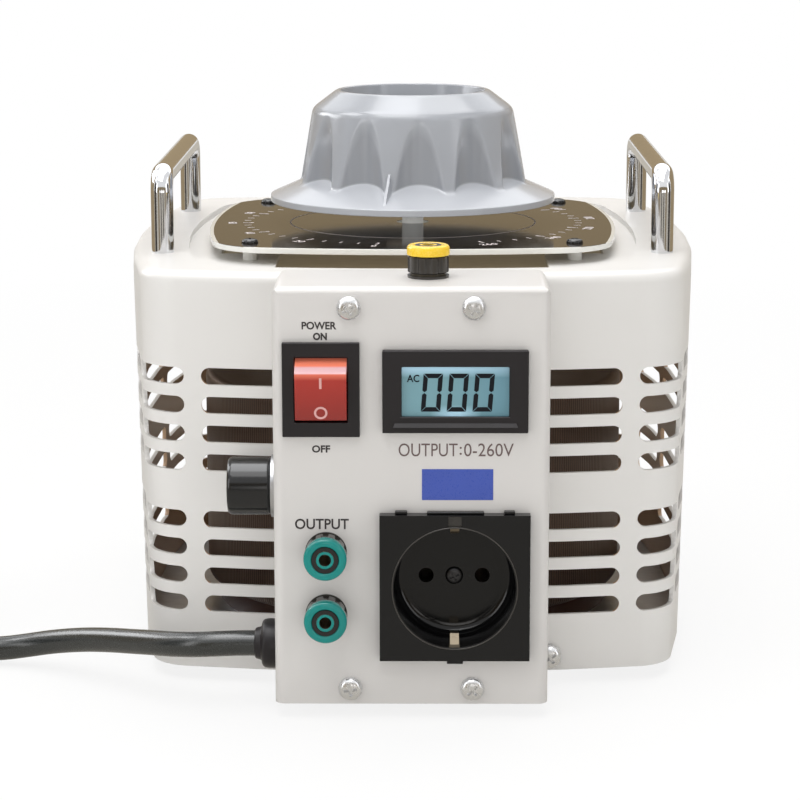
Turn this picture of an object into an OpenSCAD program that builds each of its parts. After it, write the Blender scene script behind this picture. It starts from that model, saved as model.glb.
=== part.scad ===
// Bench variable transformer with a front control box, carrying handles and a mains lead.
// Millimetres, +Z up, the front faces -Y and the object stands on Z = 0.
// Pieces are laid out about the upright axis of the dial and then placed by stand().

/* [Housing] */
// Width of the housing at its top
body_w = 207.8; // [203:0.2:212]
// Depth of the housing at its top
body_d = 224; // [219:1:228]
// Middle of the housing behind the dial's axis
body_y = 3.5; // [2:0.1:5]
// Height of the housing's top face
body_top = 146; // [143:1:152]
// Radius of the bowed front and back, in plan
front_r = 440; // [400:10:600]
// Radius of the bowed sides, in plan
side_r = 450; // [410:10:600]
// Radius of the upright corners, in plan
corner_r = 18; // [15:1:22]
// How much each side leans in towards the bottom
draft = 2.5; // [1:0.1:3.2]
// Sheet thickness of housing, top cover and control box
wall = 1.5; // [1.2:0.1:1.8]
// Height of the top cover's skirt
skirt_h = 9; // [8:0.5:11]
// Radius of the top cover's outer edge
top_round = 4; // [2.5:0.5:5]
// Thickness of the base plate
base_t = 2; // [1.5:0.1:3]

/* [Vents] */
// Height of the highest row of vent slots
vent_z = 109.6; // [104:0.2:114]
// Distance from one row of slots to the next
vent_pitch = 10.16; // [9.4:0.02:10.6]
// Height of one slot
vent_h = 6; // [4:0.1:6.6]
// Ends of the front and back slots in from the housing's sides
vent_in = 31.4; // [30.9:0.1:37.9]
// Ends of the side slots in from the housing's front and back
side_vent_in = 31; // [30.5:0.1:37]
// Web between a straight slot and the corner slot
vent_web = 6; // [5:0.1:8]

/* [Top well] */
// Flat border of the top face beside the recess
well_side = 20.4; // [19.9:0.1:22.4]
// Flat border of the top face before and behind the recess
well_end = 13.5; // [12:0.1:17]
// Depth of the recess below the top face
well_deep = 2.2; // [1.8:0.1:3]
// Floor of the recess left beside its opening
floor_side = 14.1; // [6.5:0.1:17.5]
// Floor of the recess left before and behind its opening
floor_end = 14.5; // [12.5:0.1:22.5]
// Thickness of the brown insulating board under the opening
board_t = 2.5; // [1.5:0.1:3]

/* [Dial and knob] */
// Gap between the square dial plate and the handle bars
dial_gap = 9.6; // [7.4:0.1:15.4]
// Thickness of the dial plate
dial_t = 2; // [1.5:0.1:3]
// Underside of the dial plate above the top face
dial_lift = 1.8; // [0.8:0.1:4]
// Distance of the dial screws in from the plate's edges
dial_screw_in = 17.8; // [13.8:0.1:19.8]
// Radius of the shaft
shaft_r = 4; // [3.5:0.1:5]
// Radius of the knob's flange
flange_r = 53.5; // [50:0.5:56]
// Clear height between the dial plate and the flange
knob_gap = 8.5; // [5:0.5:12]
// Height of the knob, flange included
knob_h = 41.4; // [38:0.2:48]
// Radius of the knob's body at its foot
knob_foot_r = 43; // [42:0.2:45]
// Radius of the knob's body at its shoulder
knob_shoulder_r = 37.5; // [37:0.1:39]
// Radius of the rim round the dished top
knob_rim_r = 28.9; // [27:0.1:31]
// Number of flutes round the knob
flutes = 12; // [11:1:14]
// Radius of one flute
flute_r = 12.6; // [11:0.2:12.6]
// Turn of the knob from nought to full output, in degrees
knob_travel = 325; // [300:1:328]
// Angle of the pointer left of the front, in degrees
pointer_angle = 11.5; // [6:0.5:16]

/* [Handles] */
// Distance of each handle in from the housing's side
handle_in = 14.5; // [12.9:0.1:14.9]
// Distance between the two legs of a handle
handle_span = 117; // [100:1:124]
// Radius of the handle bar
bar_r = 4; // [3:0.1:4.2]
// Height of a handle above the top face
handle_h = 31.5; // [24:0.5:40]
// Bend radius of the bar, at its middle
bend_r = 6; // [5:0.5:12]

/* [Control box] */
// Width of the control box
box_w = 91.7; // [90:0.1:94]
// How far the box stands out before the housing
box_out = 33; // [30.5:0.5:37.5]
// Underside of the box above the table
box_bottom = 5; // [4.5:0.1:5.5]
// Rise of the box's top above the housing's top face
box_rise = 0.8; // [0.5:0.1:1.5]
// Radius of the box's front and top edges
box_round = 3.5; // [2.5:0.1:5]
// Distance of the panel screws from the middle
panel_screw_x = 20.5; // [19:0.5:22]
// Height of the lower panel screws
panel_screw_low = 10.4; // [10:0.1:12]
// Drop of the upper panel screws from the box's top
panel_screw_drop = 6.9; // [6.5:0.1:8]

/* [Switch and meter] */
// Middle of the switch in from the box's left side
switch_in = 16.15; // [14.85:0.05:17.85]
// Middle of the switch up the panel
switch_z = 112.9; // [108:0.1:116]
// Width of the switch bezel
switch_w = 25.5; // [24:0.1:27]
// Height of the switch bezel
switch_h = 31.5; // [30:0.1:33]
// Full swing of the rocker, in degrees
rocker_swing = 24; // [14:1:26]
// Gap between the switch bezel and the meter bezel
meter_gap = 7.45; // [6:0.05:9]
// Middle of the meter up the panel
meter_z = 112.4; // [108:0.1:116]
// Meter bezel in from the box's right side
meter_in = 7.35; // [6:0.05:9]
// Height of the meter bezel
meter_h = 27.6; // [27:0.1:30]
// Bezel left beside the meter's window
window_side = 6.35; // [5:0.05:9]
// Height of the meter's window
window_h = 16.6; // [14:0.1:18]

/* [Mains outlet] */
// Middle of the outlet in from the box's right side
outlet_in = 31.4; // [30:0.1:33]
// Middle of the outlet up the panel
outlet_z = 46.1; // [44:0.1:48]
// Side of the square outlet
outlet_side = 50; // [48:0.2:52]
// How far the outlet stands out of the panel
outlet_proud = 4; // [2.5:0.1:5]
// Radius of the round recess
recess_r = 20.3; // [20:0.1:20.6]
// Depth of the round recess
recess_deep = 17.5; // [16.5:0.1:18]
// Distance between the two pin holes
pin_spacing = 19; // [18.5:0.1:19.5]

/* [Output posts] */
// Radius of the plug socket in each post
post_bore_r = 2; // [1.9:0.05:2.1]
// Radius of a post's threaded stud
stud_r = 3; // [2.8:0.05:3.3]
// Radius of a post's coloured ring
post_ring_r = 7.2; // [6.5:0.1:8]
// How far a post stands out of the panel
post_out = 11; // [10:0.1:13]
// Travel of a post's cap as it unscrews
post_travel = 4; // [2:0.5:5]
// Middle of the two front posts in from the box's left side
post_in = 17.45; // [16:0.05:19]
// Height of the upper front post
post_high_z = 57.6; // [57:0.1:60]
// Height of the lower front post
post_low_z = 36.2; // [34:0.1:38]
// Earth post right of the middle, on top of the box
earth_x = 5.6; // [3:0.1:8]
// Earth post behind the box's front face
earth_back = 22.5; // [19.5:0.1:23.5]

/* [Fuse and lead] */
// Fuse holder behind the box's front face
fuse_back = 18.5; // [15.5:0.5:20.5]
// Height of the fuse holder
fuse_z = 76; // [75:0.1:77]
// Radius of the fuse cap
fuse_cap_r = 9.8; // [9:0.1:10.4]
// Length of the fuse cap
fuse_cap_l = 14.5; // [10:0.5:16]
// Pull that frees the fuse from its holder
fuse_travel = 30; // [28:1:36]
// Cable gland behind the box's front face
gland_back = 14; // [13:0.5:14]
// Height of the cable gland
gland_z = 22; // [21.5:0.1:22.5]
// Radius of the mains lead
cord_r = 4.35; // [3.9:0.05:4.4]

/* [Transformer] */
// Outer radius of the ring core
core_r = 75; // [70:0.5:76]
// Inner radius of the ring core
core_in_r = 44; // [40:0.5:48]
// Height of the ring core
core_h = 72; // [64:1:76]
// Thickness of the winding round the core
winding_t = 4; // [3.5:0.1:5]
// Height of the insulating ring under the winding
ring_h = 8; // [6:0.5:10]
// Radius of the bearing tube
tube_r = 13; // [12:0.5:15]
// Width of the brush arm
arm_w = 14; // [10:0.5:15]

/* [Feet] */
// Height of the rubber feet
foot_h = 5; // [4.6:0.1:5.8]
// Radius of a foot
foot_r = 9; // [8:0.5:10]
// Distance of the feet from the axis along X
foot_x = 65; // [60:1:70]
// Distance of the feet from the axis along Y
foot_y = 75; // [70:1:80]

/* [Hidden] */
$fn = 64;

// Slice thickness where two outlines are joined into one shell
skin = 0.01;
// Overcut of a hole beyond the face that it opens
over = 1;
// Running clearance round the shaft, pins and threads
run = 0.05;
// Clearance between pieces that are fixed to each other
fit = 0.2;
// Clearance round pieces that pass each other
pass = 0.3;

// Places that follow from the sizes above
handle_x = body_w / 2 - handle_in;
well_w = body_w - 2 * well_side;
well_d = body_d - 2 * well_end;
hole_x = well_w / 2 - floor_side;
hole_y = well_d / 2 - floor_end;
dial_side = 2 * (handle_x - bar_r - dial_gap);
dial_screw_at = dial_side / 2 - dial_screw_in;
vent_end = body_w / 2 - vent_in;
side_vent_end = body_d / 2 - side_vent_in;
box_front = body_d / 2 - body_y + box_out;
switch_x = switch_in - box_w / 2;
meter_w = box_w - switch_in - switch_w / 2 - meter_gap - meter_in;
meter_x = box_w / 2 - meter_in - meter_w / 2;
window_w = meter_w - 2 * window_side;
outlet_x = box_w / 2 - outlet_in;
post_x = post_in - box_w / 2;
earth_front = box_front - earth_back;
fuse_front = box_front - fuse_back;
gland_front = box_front - gland_back;
// The dial's axis behind the origin, which lies midway between the front posts and the back wall
axis_y = (box_front + post_out - body_d / 2 - body_y) / 2;

case_white = [0.86, 0.86, 0.84];
panel_white = [0.82, 0.82, 0.80];
knob_grey = [0.66, 0.67, 0.70];
black = [0.12, 0.12, 0.12];
cord_black = [0.16, 0.16, 0.16];
steel = [0.72, 0.73, 0.75];
brass = [0.80, 0.66, 0.32];
board_brown = [0.30, 0.24, 0.17];
copper = [0.42, 0.22, 0.12];
rocker_red = [0.70, 0.15, 0.13];
display_blue = [0.56, 0.72, 0.80];
teal = [0.16, 0.55, 0.52];
yellow = [0.95, 0.74, 0.12];
rubber = [0.10, 0.10, 0.10];
core_grey = [0.35, 0.36, 0.38];
bakelite = [0.24, 0.13, 0.08];

// Heights
seam_z = body_top - skirt_h;
base_top = foot_h + base_t;
box_top = body_top + box_rise;
well_z = body_top - well_deep;
board_top = well_z - wall;
dial_z = body_top + dial_lift;
dial_top = dial_z + dial_t;
knob_z = dial_top + knob_gap;
knob_top = knob_z + knob_h;
winding_z = base_top + ring_h;
core_z = winding_z + winding_t;
winding_top = core_z + core_h + winding_t;

// Plan outline of a square with bowed sides and round corners, as one polygon of arcs
side_steps = 3;
corner_steps = 7;
function arc(c, r, a, b, n) = [for (i = [0:n])
    c + r * [cos(a + (b - a) * i / n), sin(a + (b - a) * i / n)]];
function tail(v) = [for (i = [1:len(v) - 1]) v[i]];
// A quarter from half width a and half depth b, with side radius sr, front radius fr and corner radius cr
function quarter(a, b, sr, fr, cr) =
    let (p = [a - sr, 0], q = [0, b - fr], gap = norm(q - p), u = (q - p) / gap)
    let (along = (pow(sr - cr, 2) - pow(fr - cr, 2) + gap * gap) / (2 * gap))
    let (c = p + along * u + sqrt(pow(sr - cr, 2) - along * along) * [-u.y, u.x])
    let (t1 = atan2(c.y - p.y, c.x - p.x), t2 = atan2(c.y - q.y, c.x - q.x))
    concat(arc(p, sr, 0, t1, side_steps), tail(arc(c, cr, t1, t2, corner_steps)),
        tail(arc(q, fr, t2, 90, side_steps)));
function plan(w, d, sr, fr, cr) =
    let (v = quarter(w / 2, d / 2, sr, fr, cr), n = len(v))
    concat(v, [for (i = [n - 2:-1:0]) [-v[i].x, v[i].y]], [for (i = [1:n - 1]) [-v[i].x, -v[i].y]],
        [for (i = [n - 2:-1:1]) [v[i].x, -v[i].y]]);
function body_plan(inset) =
    plan(body_w - 2 * inset, body_d - 2 * inset, side_r - inset, front_r - inset, corner_r - inset);

// Inward lean of the housing wall at height z, and how far the bowed front falls back at x
function lean(z) = z > seam_z ? 0 : draft * (seam_z - z) / (seam_z - foot_h);
function bow(x) = front_r - sqrt(front_r * front_r - x * x);
// Outer face of the front wall before the dial's axis
function wall_y(x, z) = body_d / 2 - body_y - lean(z) - bow(x);

module stand() translate([0, axis_y, 0]) children();
module housed() translate([0, body_y, 0]) children();
module prism(points, z0, z1) translate([0, 0, z0]) linear_extrude(z1 - z0) polygon(points);
module drafted(inset, z0, z1) housed() hull() {
    prism(body_plan(inset + lean(z0)), z0, z0 + skin);
    prism(body_plan(inset + lean(z1)), z1 - skin, z1);
}
module at_corners(x, y) for (sx = [-1, 1], sy = [-1, 1]) translate([sx * x, sy * y, 0]) children();
// Turns a piece that is built along +Z so that it points forward, or out to the left
module forward() rotate([90, 0, 0]) children();
module leftward() rotate([0, -90, 0]) children();
module tube_ring(r, inner, z0, z1) translate([0, 0, z0]) difference() {
    cylinder(r = r, h = z1 - z0);
    translate([0, 0, -over]) cylinder(r = inner, h = z1 - z0 + 2 * over);
}
module rod(r, z0, z1) translate([0, 0, z0]) cylinder(r = r, h = z1 - z0);
module centred(w, h, z0, z1) translate([-w / 2, -h / 2, z0]) cube([w, h, z1 - z0]);

// Housing

base_inset = draft + wall + fit;
base_screw_x = 48.3;
base_screw_z = 10.4;
base_screw_r = 2;
base_head_r = 4.2;
base_head_h = 3.2;
tab_w = 14;
tab_h = 10;
tab_t = 2;
// Outer face of the base plate's upright tabs, clear of the bowed wall inside
tab_y = wall_y(base_screw_x + tab_w / 2, foot_h) + body_y - wall - fit;
stem_r = 3;
stem_rise = 4;

module base_plate() color(steel) stand() housed() difference() {
    union() {
        prism(body_plan(base_inset), foot_h, base_top);
        for (s = [-1, 1]) at_tabs(s) translate([-tab_w / 2, s > 0 ? -tab_t : 0, foot_h])
            cube([tab_w, tab_t, base_t + tab_h]);
    }
    at_corners(foot_x, foot_y) rod(stem_r + run, foot_h - over, base_top + over);
    for (s = [-1, 1]) at_tabs(s) translate([0, 0, base_screw_z]) rotate([90, 0, 0])
        cylinder(r = base_screw_r + run, h = 4 * tab_t, center = true);
    translate([0, -body_y, 0]) rod(shaft_r + 1, foot_h - over, base_top + over);
}
module at_tabs(s) for (sx = [-1, 1]) translate([sx * base_screw_x, s * tab_y, 0]) children();

// Rows of slots, with one row left out in the middle
vent_rows = [0, 1, 2, 3, 5, 6, 7, 8];
vent_r = vent_h / 2;
through = body_d;
// Half width of the wiring window behind the control box, and of the slots between it and the web
window_half = 34;
vent_gap = 6;
side_vent_half = 38;
module slot_bar(x0, x1, y0, y1) {
    translate([x0 + vent_r, y0, -vent_r]) cube([x1 - x0 - vent_h, y1 - y0, vent_h]);
    for (x = [x0 + vent_r, x1 - vent_r]) translate([x, y0, 0]) rotate([-90, 0, 0])
        cylinder(r = vent_r, h = y1 - y0);
}
module corner_slot() {
    x = vent_end + vent_web;
    y = side_vent_end + vent_web;
    translate([x + vent_r, y + vent_r, -vent_r]) cube([corner_r * 2, corner_r * 2, vent_h]);
    translate([x + vent_r, y, 0]) rotate([-90, 0, 0]) cylinder(r = vent_r, h = corner_r * 2);
    translate([x, y + vent_r, 0]) rotate([0, 90, 0]) cylinder(r = vent_r, h = corner_r * 2);
}
module vent_row() {
    for (s = [0, 1]) mirror([s, 0, 0]) slot_bar(window_half + vent_gap, vent_end, -through, through);
    slot_bar(-window_half, window_half, 0, through);
    rotate([0, 0, 90]) {
        for (s = [0, 1]) mirror([s, 0, 0])
            slot_bar(side_vent_half + vent_gap, side_vent_end, -through, through);
        slot_bar(-side_vent_half, side_vent_half, -through, through);
    }
    for (sx = [0, 1], sy = [0, 1]) mirror([sx, 0, 0]) mirror([0, sy, 0]) corner_slot();
}
module housing_shell() color(case_white) stand() difference() {
    drafted(0, foot_h, seam_z);
    drafted(wall, foot_h - over, seam_z + over);
    for (k = vent_rows) translate([0, body_y, vent_z - k * vent_pitch]) vent_row();
    translate([-window_half, -through, panel_screw_low + base_head_r * 2])
        cube([2 * window_half, through, vent_z + vent_h - panel_screw_low - base_head_r * 2]);
    for (sx = [-1, 1]) translate([sx * base_screw_x, 0, base_screw_z]) rotate([90, 0, 0])
        cylinder(r = base_screw_r + fit, h = 2 * through, center = true);
}
module base_screws() color(steel) stand() housed()
    for (sx = [-1, 1], turn = [0, 180]) rotate([0, 0, turn])
        translate([sx * base_screw_x, 0, base_screw_z]) forward() {
            face = wall_y(base_screw_x - base_head_r, base_screw_z) + body_y + run;
            rod(base_head_r, face, face + base_head_h);
            rod(base_screw_r, tab_y - tab_t - over, face + base_head_h / 2);
        }

foot_x_taper = 1;
module rubber_feet() color(rubber) stand() housed() at_corners(foot_x, foot_y) {
    cylinder(r1 = foot_r - foot_x_taper, r2 = foot_r, h = foot_h);
    rod(stem_r, foot_h, base_top + stem_rise);
}

// Top cover, with a pressed well that has a cross-shaped opening in its floor

well_r = 30;
ear_x = dial_screw_at - 10;
ear_y = dial_screw_at - 15;
well_plan = plan(well_w, well_d, side_r, front_r, well_r);
pan_plan = plan(well_w + 2 * wall, well_d + 2 * wall, side_r + wall, front_r + wall, well_r + wall);
round_steps = 4;
handle_hole_r = 2.5;
dial_screw_r = 1.5;
module cover_block(grow) housed() hull() {
    prism(body_plan(-grow), seam_z, body_top + grow - top_round);
    for (i = [1:round_steps])
        let (a = 90 * i / round_steps, z = body_top + grow - top_round * (1 - sin(a)))
            prism(body_plan(top_round * (1 - cos(a)) - grow), z - skin, z);
}
module at_handle_legs() for (sx = [-1, 1], sy = [-1, 1])
    translate([sx * handle_x, body_y + sy * handle_span / 2, 0]) children();
module top_cover() color(case_white) stand() difference() {
    cover_block(0);
    housed() difference() {
        hull() {
            prism(body_plan(wall), seam_z - over, body_top - top_round);
            prism(body_plan(top_round), body_top - wall - skin, body_top - wall);
        }
        prism(pan_plan, board_top, body_top);
    }
    housed() prism(well_plan, well_z, body_top + over);
    translate([0, 0, board_top - over]) linear_extrude(2 * wall) {
        square([2 * hole_x, 2 * ear_y], center = true);
        square([2 * ear_x, 2 * hole_y], center = true);
    }
    at_corners(dial_screw_at, dial_screw_at) rod(dial_screw_r + fit, board_top - over, well_z + over);
    at_handle_legs() rod(handle_hole_r + fit, body_top - 2 * wall, body_top + over);
}

// Carrying handles

leg_hole = 12;
handle_head_r = 3.8;
handle_head_h = 3;
module handle(side) stand() translate([side * handle_x, body_y, 0]) {
    bar_z = body_top + handle_h - bar_r;
    for (sy = [-1, 1]) translate([0, sy * handle_span / 2, 0]) {
        difference() {
            rod(bar_r, body_top, bar_z - bend_r);
            rod(handle_hole_r + run, body_top - over, body_top + leg_hole);
        }
        translate([0, -sy * bend_r, bar_z - bend_r]) rotate([0, 0, sy * 90]) rotate([90, 0, 0])
            rotate_extrude(angle = 90) translate([bend_r, 0]) circle(bar_r);
    }
    translate([0, -handle_span / 2 + bend_r, bar_z]) rotate([-90, 0, 0])
        cylinder(r = bar_r, h = handle_span - 2 * bend_r);
}
module handle_left() color(steel) handle(-1);
module handle_right() color(steel) handle(1);
module handle_screws() color(steel) stand() at_handle_legs() {
    rod(handle_head_r, body_top - wall - handle_head_h, body_top - wall);
    rod(handle_hole_r, body_top - wall, body_top + leg_hole - over);
}

// Insulating board, dial plate and its spacers

board_x = well_w / 2 - 3.5;
board_y = well_d / 2 - 10.5;
board_hole_r = 15;
spacer_r = 2.6;
dial_head_r = 3;
dial_head_h = 1.6;
dial_corner_r = 24;
dial_side_r = 330;
dial_nut_h = 2;
module guard_board() color(board_brown) stand() difference() {
    translate([0, 0, board_top - board_t]) linear_extrude(board_t)
        square([2 * board_x, 2 * board_y], center = true);
    rod(board_hole_r, board_top - board_t - over, board_top + over);
    at_corners(dial_screw_at, dial_screw_at)
        rod(dial_screw_r + fit, board_top - board_t - over, board_top + over);
}
module dial_plate() color(board_brown) stand() difference() {
    prism(plan(dial_side, dial_side, dial_side_r, dial_side_r, dial_corner_r), dial_z, dial_top);
    rod(shaft_r + 2, dial_z - over, dial_top + over);
    at_corners(dial_screw_at, dial_screw_at) rod(dial_screw_r + fit, dial_z - over, dial_top + over);
}
module dial_spacers() color("white") stand() at_corners(dial_screw_at, dial_screw_at)
    tube_ring(spacer_r, dial_screw_r + run, well_z, dial_z);
module dial_screws() color(black) stand() at_corners(dial_screw_at, dial_screw_at) {
    rod(dial_head_r, dial_top, dial_top + dial_head_h);
    rod(dial_screw_r, board_top - board_t - dial_nut_h, dial_top);
    tube_ring(dial_head_r, dial_screw_r, board_top - board_t - dial_nut_h, board_top - board_t);
}

// Control box: a folded and rounded cover, open at the back, that meets the housing wall

panel_screw_r = 2;
panel_head_r = 4;
panel_head_h = 2.6;
panel_in = box_front - wall;
switch_hole_w = switch_w - 3.5;
switch_hole_h = switch_h - 3.5;
meter_hole_w = meter_w - 2.6;
meter_hole_h = meter_h - 2.6;
outlet_body = outlet_side - 6;
post_neck_r = stud_r + 0.9;
fuse_tube_r = 7.4;
gland_neck_r = 6.2;
module rounded(w, h, r) {
    square([w - 2 * r, h], center = true);
    square([w, h - 2 * r], center = true);
    at_corners(w / 2 - r, h / 2 - r) circle(r);
}
// Block from the front face back to y = 0, rounded along the front and the top edges
module box_block(half, front, z0, z1, r) intersection() {
    translate([0, 0, z0]) linear_extrude(z1 - z0) rounded(2 * half, 2 * front, r);
    translate([0, 0, z0]) rotate([90, 0, 0]) linear_extrude(front)
        rounded(2 * half, 2 * (z1 - z0), r);
    translate([-half, 0, z0]) rotate([90, 0, 90]) linear_extrude(2 * half)
        rounded(2 * front, 2 * (z1 - z0), r);
}
module at_panel_screws() for (sx = [-1, 1], z = [panel_screw_low, box_top - panel_screw_drop])
    translate([sx * panel_screw_x, 0, z]) children();
module at_front_posts() for (z = [post_high_z, post_low_z])
    translate([post_x, -box_front, z]) forward() children();
module at_earth_post() translate([earth_x, -earth_front, box_top]) children();
module at_all_posts() {
    at_front_posts() children();
    at_earth_post() children();
}
module at_fuse() translate([-box_w / 2, -fuse_front, fuse_z]) leftward() children();
module at_gland() translate([-box_w / 2, -gland_front, gland_z]) leftward() children();
module panel_hole(x, z, w, h)
    translate([x - w / 2, -box_front - over, z - h / 2]) cube([w, wall + 2 * over, h]);
module control_box() color(panel_white) stand() difference() {
    box_block(box_w / 2, box_front, box_bottom, box_top, box_round);
    box_block(box_w / 2 - wall, panel_in, box_bottom + wall, box_top - wall, box_round - wall);
    drafted(-fit, box_bottom - over, seam_z);
    cover_block(fit);
    translate([-box_w, body_y - body_d / 2 + draft + bow(box_w / 2) + over, 0])
        cube([2 * box_w, body_d, 2 * body_top]);
    panel_hole(switch_x, switch_z, switch_hole_w, switch_hole_h);
    panel_hole(meter_x, meter_z, meter_hole_w, meter_hole_h);
    panel_hole(outlet_x, outlet_z, outlet_body, outlet_body);
    at_panel_screws() rotate([90, 0, 0]) rod(panel_screw_r + fit, panel_in - over, box_front + over);
    at_all_posts() rod(post_neck_r + fit, -wall - over, over);
    at_fuse() rod(fuse_tube_r + fit, -wall - over, over);
    at_gland() rod(gland_neck_r + fit, -wall - over, over);
    for (sx = [-1, 1])
        translate([sx * base_screw_x, body_y - body_d / 2, base_screw_z]) rotate([90, 0, 0])
            cylinder(r = base_head_r + 1, h = 2 * (base_head_h + 2), center = true);
}
module panel_screws() color(steel) stand() at_panel_screws() forward() {
    rod(panel_head_r, box_front, box_front + panel_head_h);
    rod(panel_screw_r, panel_in - standoff_hole + over, box_front);
}
standoff_r = 4.2;
standoff_hole = 10;
module panel_standoffs() color(steel) stand() at_panel_screws_z() forward() difference() {
    rod6(standoff_r, wall_y(panel_screw_x - standoff_r, $z) + fit, panel_in);
    rod(panel_screw_r + run, panel_in - standoff_hole, panel_in + over);
}
module at_panel_screws_z() for (sx = [-1, 1], z = [panel_screw_low, box_top - panel_screw_drop])
    let ($z = z + standoff_r) translate([sx * panel_screw_x, 0, z]) children();
module rod6(r, z0, z1) translate([0, 0, z0]) cylinder(r = r, h = z1 - z0, $fn = 6);

// Rocker switch, built along the way that it faces

bezel_t = 2;
switch_deep = 21;
rocker_w = 17;
rocker_h = 20.6;
rocker_gap = 0.6;
pivot_deep = 6;
pivot_r = 1.5;
pivot_reach = switch_hole_w / 2 - 0.6;
// The rocker's flat face before its pivot, half its height, and where its sloped ends begin
rocker_face = 8.5;
rocker_flat = 8.4;
rocker_end = 2.6;
terminal_w = 6.3;
terminal_t = 0.8;
terminal_l = 8;
terminal_x = 5;
terminal_row = 7;
module at_switch() translate([switch_x, -box_front, switch_z]) forward() children();
module switch_body() color(black) stand() at_switch() difference() {
    union() {
        centred(switch_w, switch_h, 0, bezel_t);
        centred(switch_hole_w - 2 * fit, switch_hole_h - 2 * fit, -switch_deep, 0);
    }
    centred(rocker_w + 2 * pass, rocker_h + 2 * rocker_gap, -switch_deep + 6, bezel_t + over);
    translate([0, 0, bezel_t - pivot_deep]) rotate([0, 90, 0])
        cylinder(r = pivot_r + run, h = 2 * pivot_reach + 2 * run, center = true);
}
module rocker() color(rocker_red) stand() at_switch() translate([0, 0, bezel_t - pivot_deep])
    rotate([rocker_swing / 2, 0, 0]) {
        half = rocker_h / 2;
        rotate([90, 0, 90]) translate([0, 0, -rocker_w / 2]) linear_extrude(rocker_w) polygon([
            [half, 0], [half, rocker_end], [rocker_flat, rocker_face], [-rocker_flat, rocker_face],
            [-half, rocker_end], [-half, 0], [-half / 2, -3], [half / 2, -3]]);
        rotate([0, 90, 0]) cylinder(r = pivot_r, h = 2 * pivot_reach, center = true);
    }
module switch_terminals() color(brass) stand() at_switch()
    for (sx = [-1, 1], row = [-1, 0, 1]) translate([sx * terminal_x, row * terminal_row, 0])
        centred(terminal_t, terminal_w, -switch_deep - terminal_l, -switch_deep);

// Panel meter

meter_bezel = 2.5;
meter_front = 1.6;
meter_deep = 20;
meter_wall = 1.5;
display_t = 3;
module at_meter() translate([meter_x, -box_front, meter_z]) forward() children();
module meter_case() color(black) stand() at_meter() difference() {
    union() {
        centred(meter_w, meter_h, 0, meter_bezel);
        centred(meter_hole_w - 2 * fit, meter_hole_h - 2 * fit, -meter_deep, 0);
    }
    centred(window_w, window_h, 0, meter_bezel + over);
    centred(meter_hole_w - 2 * fit - 2 * meter_wall, meter_hole_h - 2 * fit - 2 * meter_wall,
        -meter_deep + meter_wall, meter_bezel - meter_front);
}
module meter_display() color(display_blue) stand() at_meter()
    centred(meter_hole_w - 4 * fit - 2 * meter_wall, meter_hole_h - 4 * fit - 2 * meter_wall,
        meter_bezel - meter_front - display_t, meter_bezel - meter_front);

// Mains outlet with a round recess and two sprung earth clips

outlet_back = 33;
outlet_floor = outlet_proud - recess_deep;
pin_hole_r = 2.5;
contact_r = 3.5;
floor_t = 1.6;
clip_w = 3;
clip_t = 0.9;
clip_slot = 1.2;
notch_w = 4.6;
notch_l = 4.3;
notch_t = 1.2;
// Rounding between the wall and the floor of the recess
recess_round = 3.6;
clip_nose = 3;
outlet_screw_r = 1.5;
outlet_head_r = 3;
outlet_head_h = 1.4;
module at_outlet() translate([outlet_x, -box_front, outlet_z]) forward() children();
module at_pins() for (s = [-1, 1]) translate([s * pin_spacing / 2, 0, 0]) children();
module socket_cover() color(black) stand() at_outlet() difference() {
    union() {
        centred(outlet_side, outlet_side, 0, outlet_proud);
        centred(outlet_body - 2 * fit, outlet_body - 2 * fit, outlet_floor, 0);
    }
    rotate_extrude() polygon(concat(
        [[0, outlet_proud + over], [0, outlet_floor - over]],
        [[recess_r - recess_round, outlet_floor - over]],
        arc([recess_r - recess_round, outlet_floor + recess_round], recess_round, -90, 0, 6),
        [[recess_r, outlet_proud + over]]));
    for (s = [0, 1]) mirror([0, s, 0]) translate([0, recess_r, 0])
        centred(clip_w + 2 * fit, 2 * clip_slot, outlet_floor - over, fit);
    translate([0, recess_r, 0])
        centred(notch_w, 2 * notch_l, outlet_proud - notch_t, outlet_proud + over);
}
module socket_base() color(black) stand() at_outlet() difference() {
    centred(outlet_body - 2 * fit, outlet_body - 2 * fit, -outlet_back, outlet_floor);
    at_pins() rod(pin_hole_r, outlet_floor - floor_t - over, outlet_floor + over);
    at_pins() rod(contact_r + run, -outlet_back - over, outlet_floor - floor_t);
    rod(outlet_screw_r + run, -outlet_back - over, outlet_floor + over);
}
module socket_contacts() color(brass) stand() at_outlet() at_pins() {
    tube_ring(contact_r, pin_hole_r, -outlet_back, outlet_floor - floor_t);
    centred(terminal_t, terminal_w, -outlet_back - terminal_l, -outlet_back);
}
module socket_earth_clips() color(brass) stand() at_outlet() for (s = [0, 1]) mirror([0, s, 0])
    translate([-clip_w / 2, 0, 0]) rotate([90, 0, 90]) linear_extrude(clip_w) polygon([
        [recess_r + clip_slot - fit, outlet_floor], [recess_r + clip_slot - fit, 0],
        [recess_r - clip_nose + clip_t, -2], [recess_r - clip_nose, -3], [recess_r - clip_nose, -4],
        [recess_r + clip_slot - fit - clip_t, outlet_floor]]);
module socket_screw() color(steel) stand() at_outlet() {
    rod(outlet_head_r, outlet_floor, outlet_floor + outlet_head_h);
    rod(outlet_screw_r, -outlet_back, outlet_floor);
}

// Binding posts, built along the way that they stand out of the panel

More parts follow.
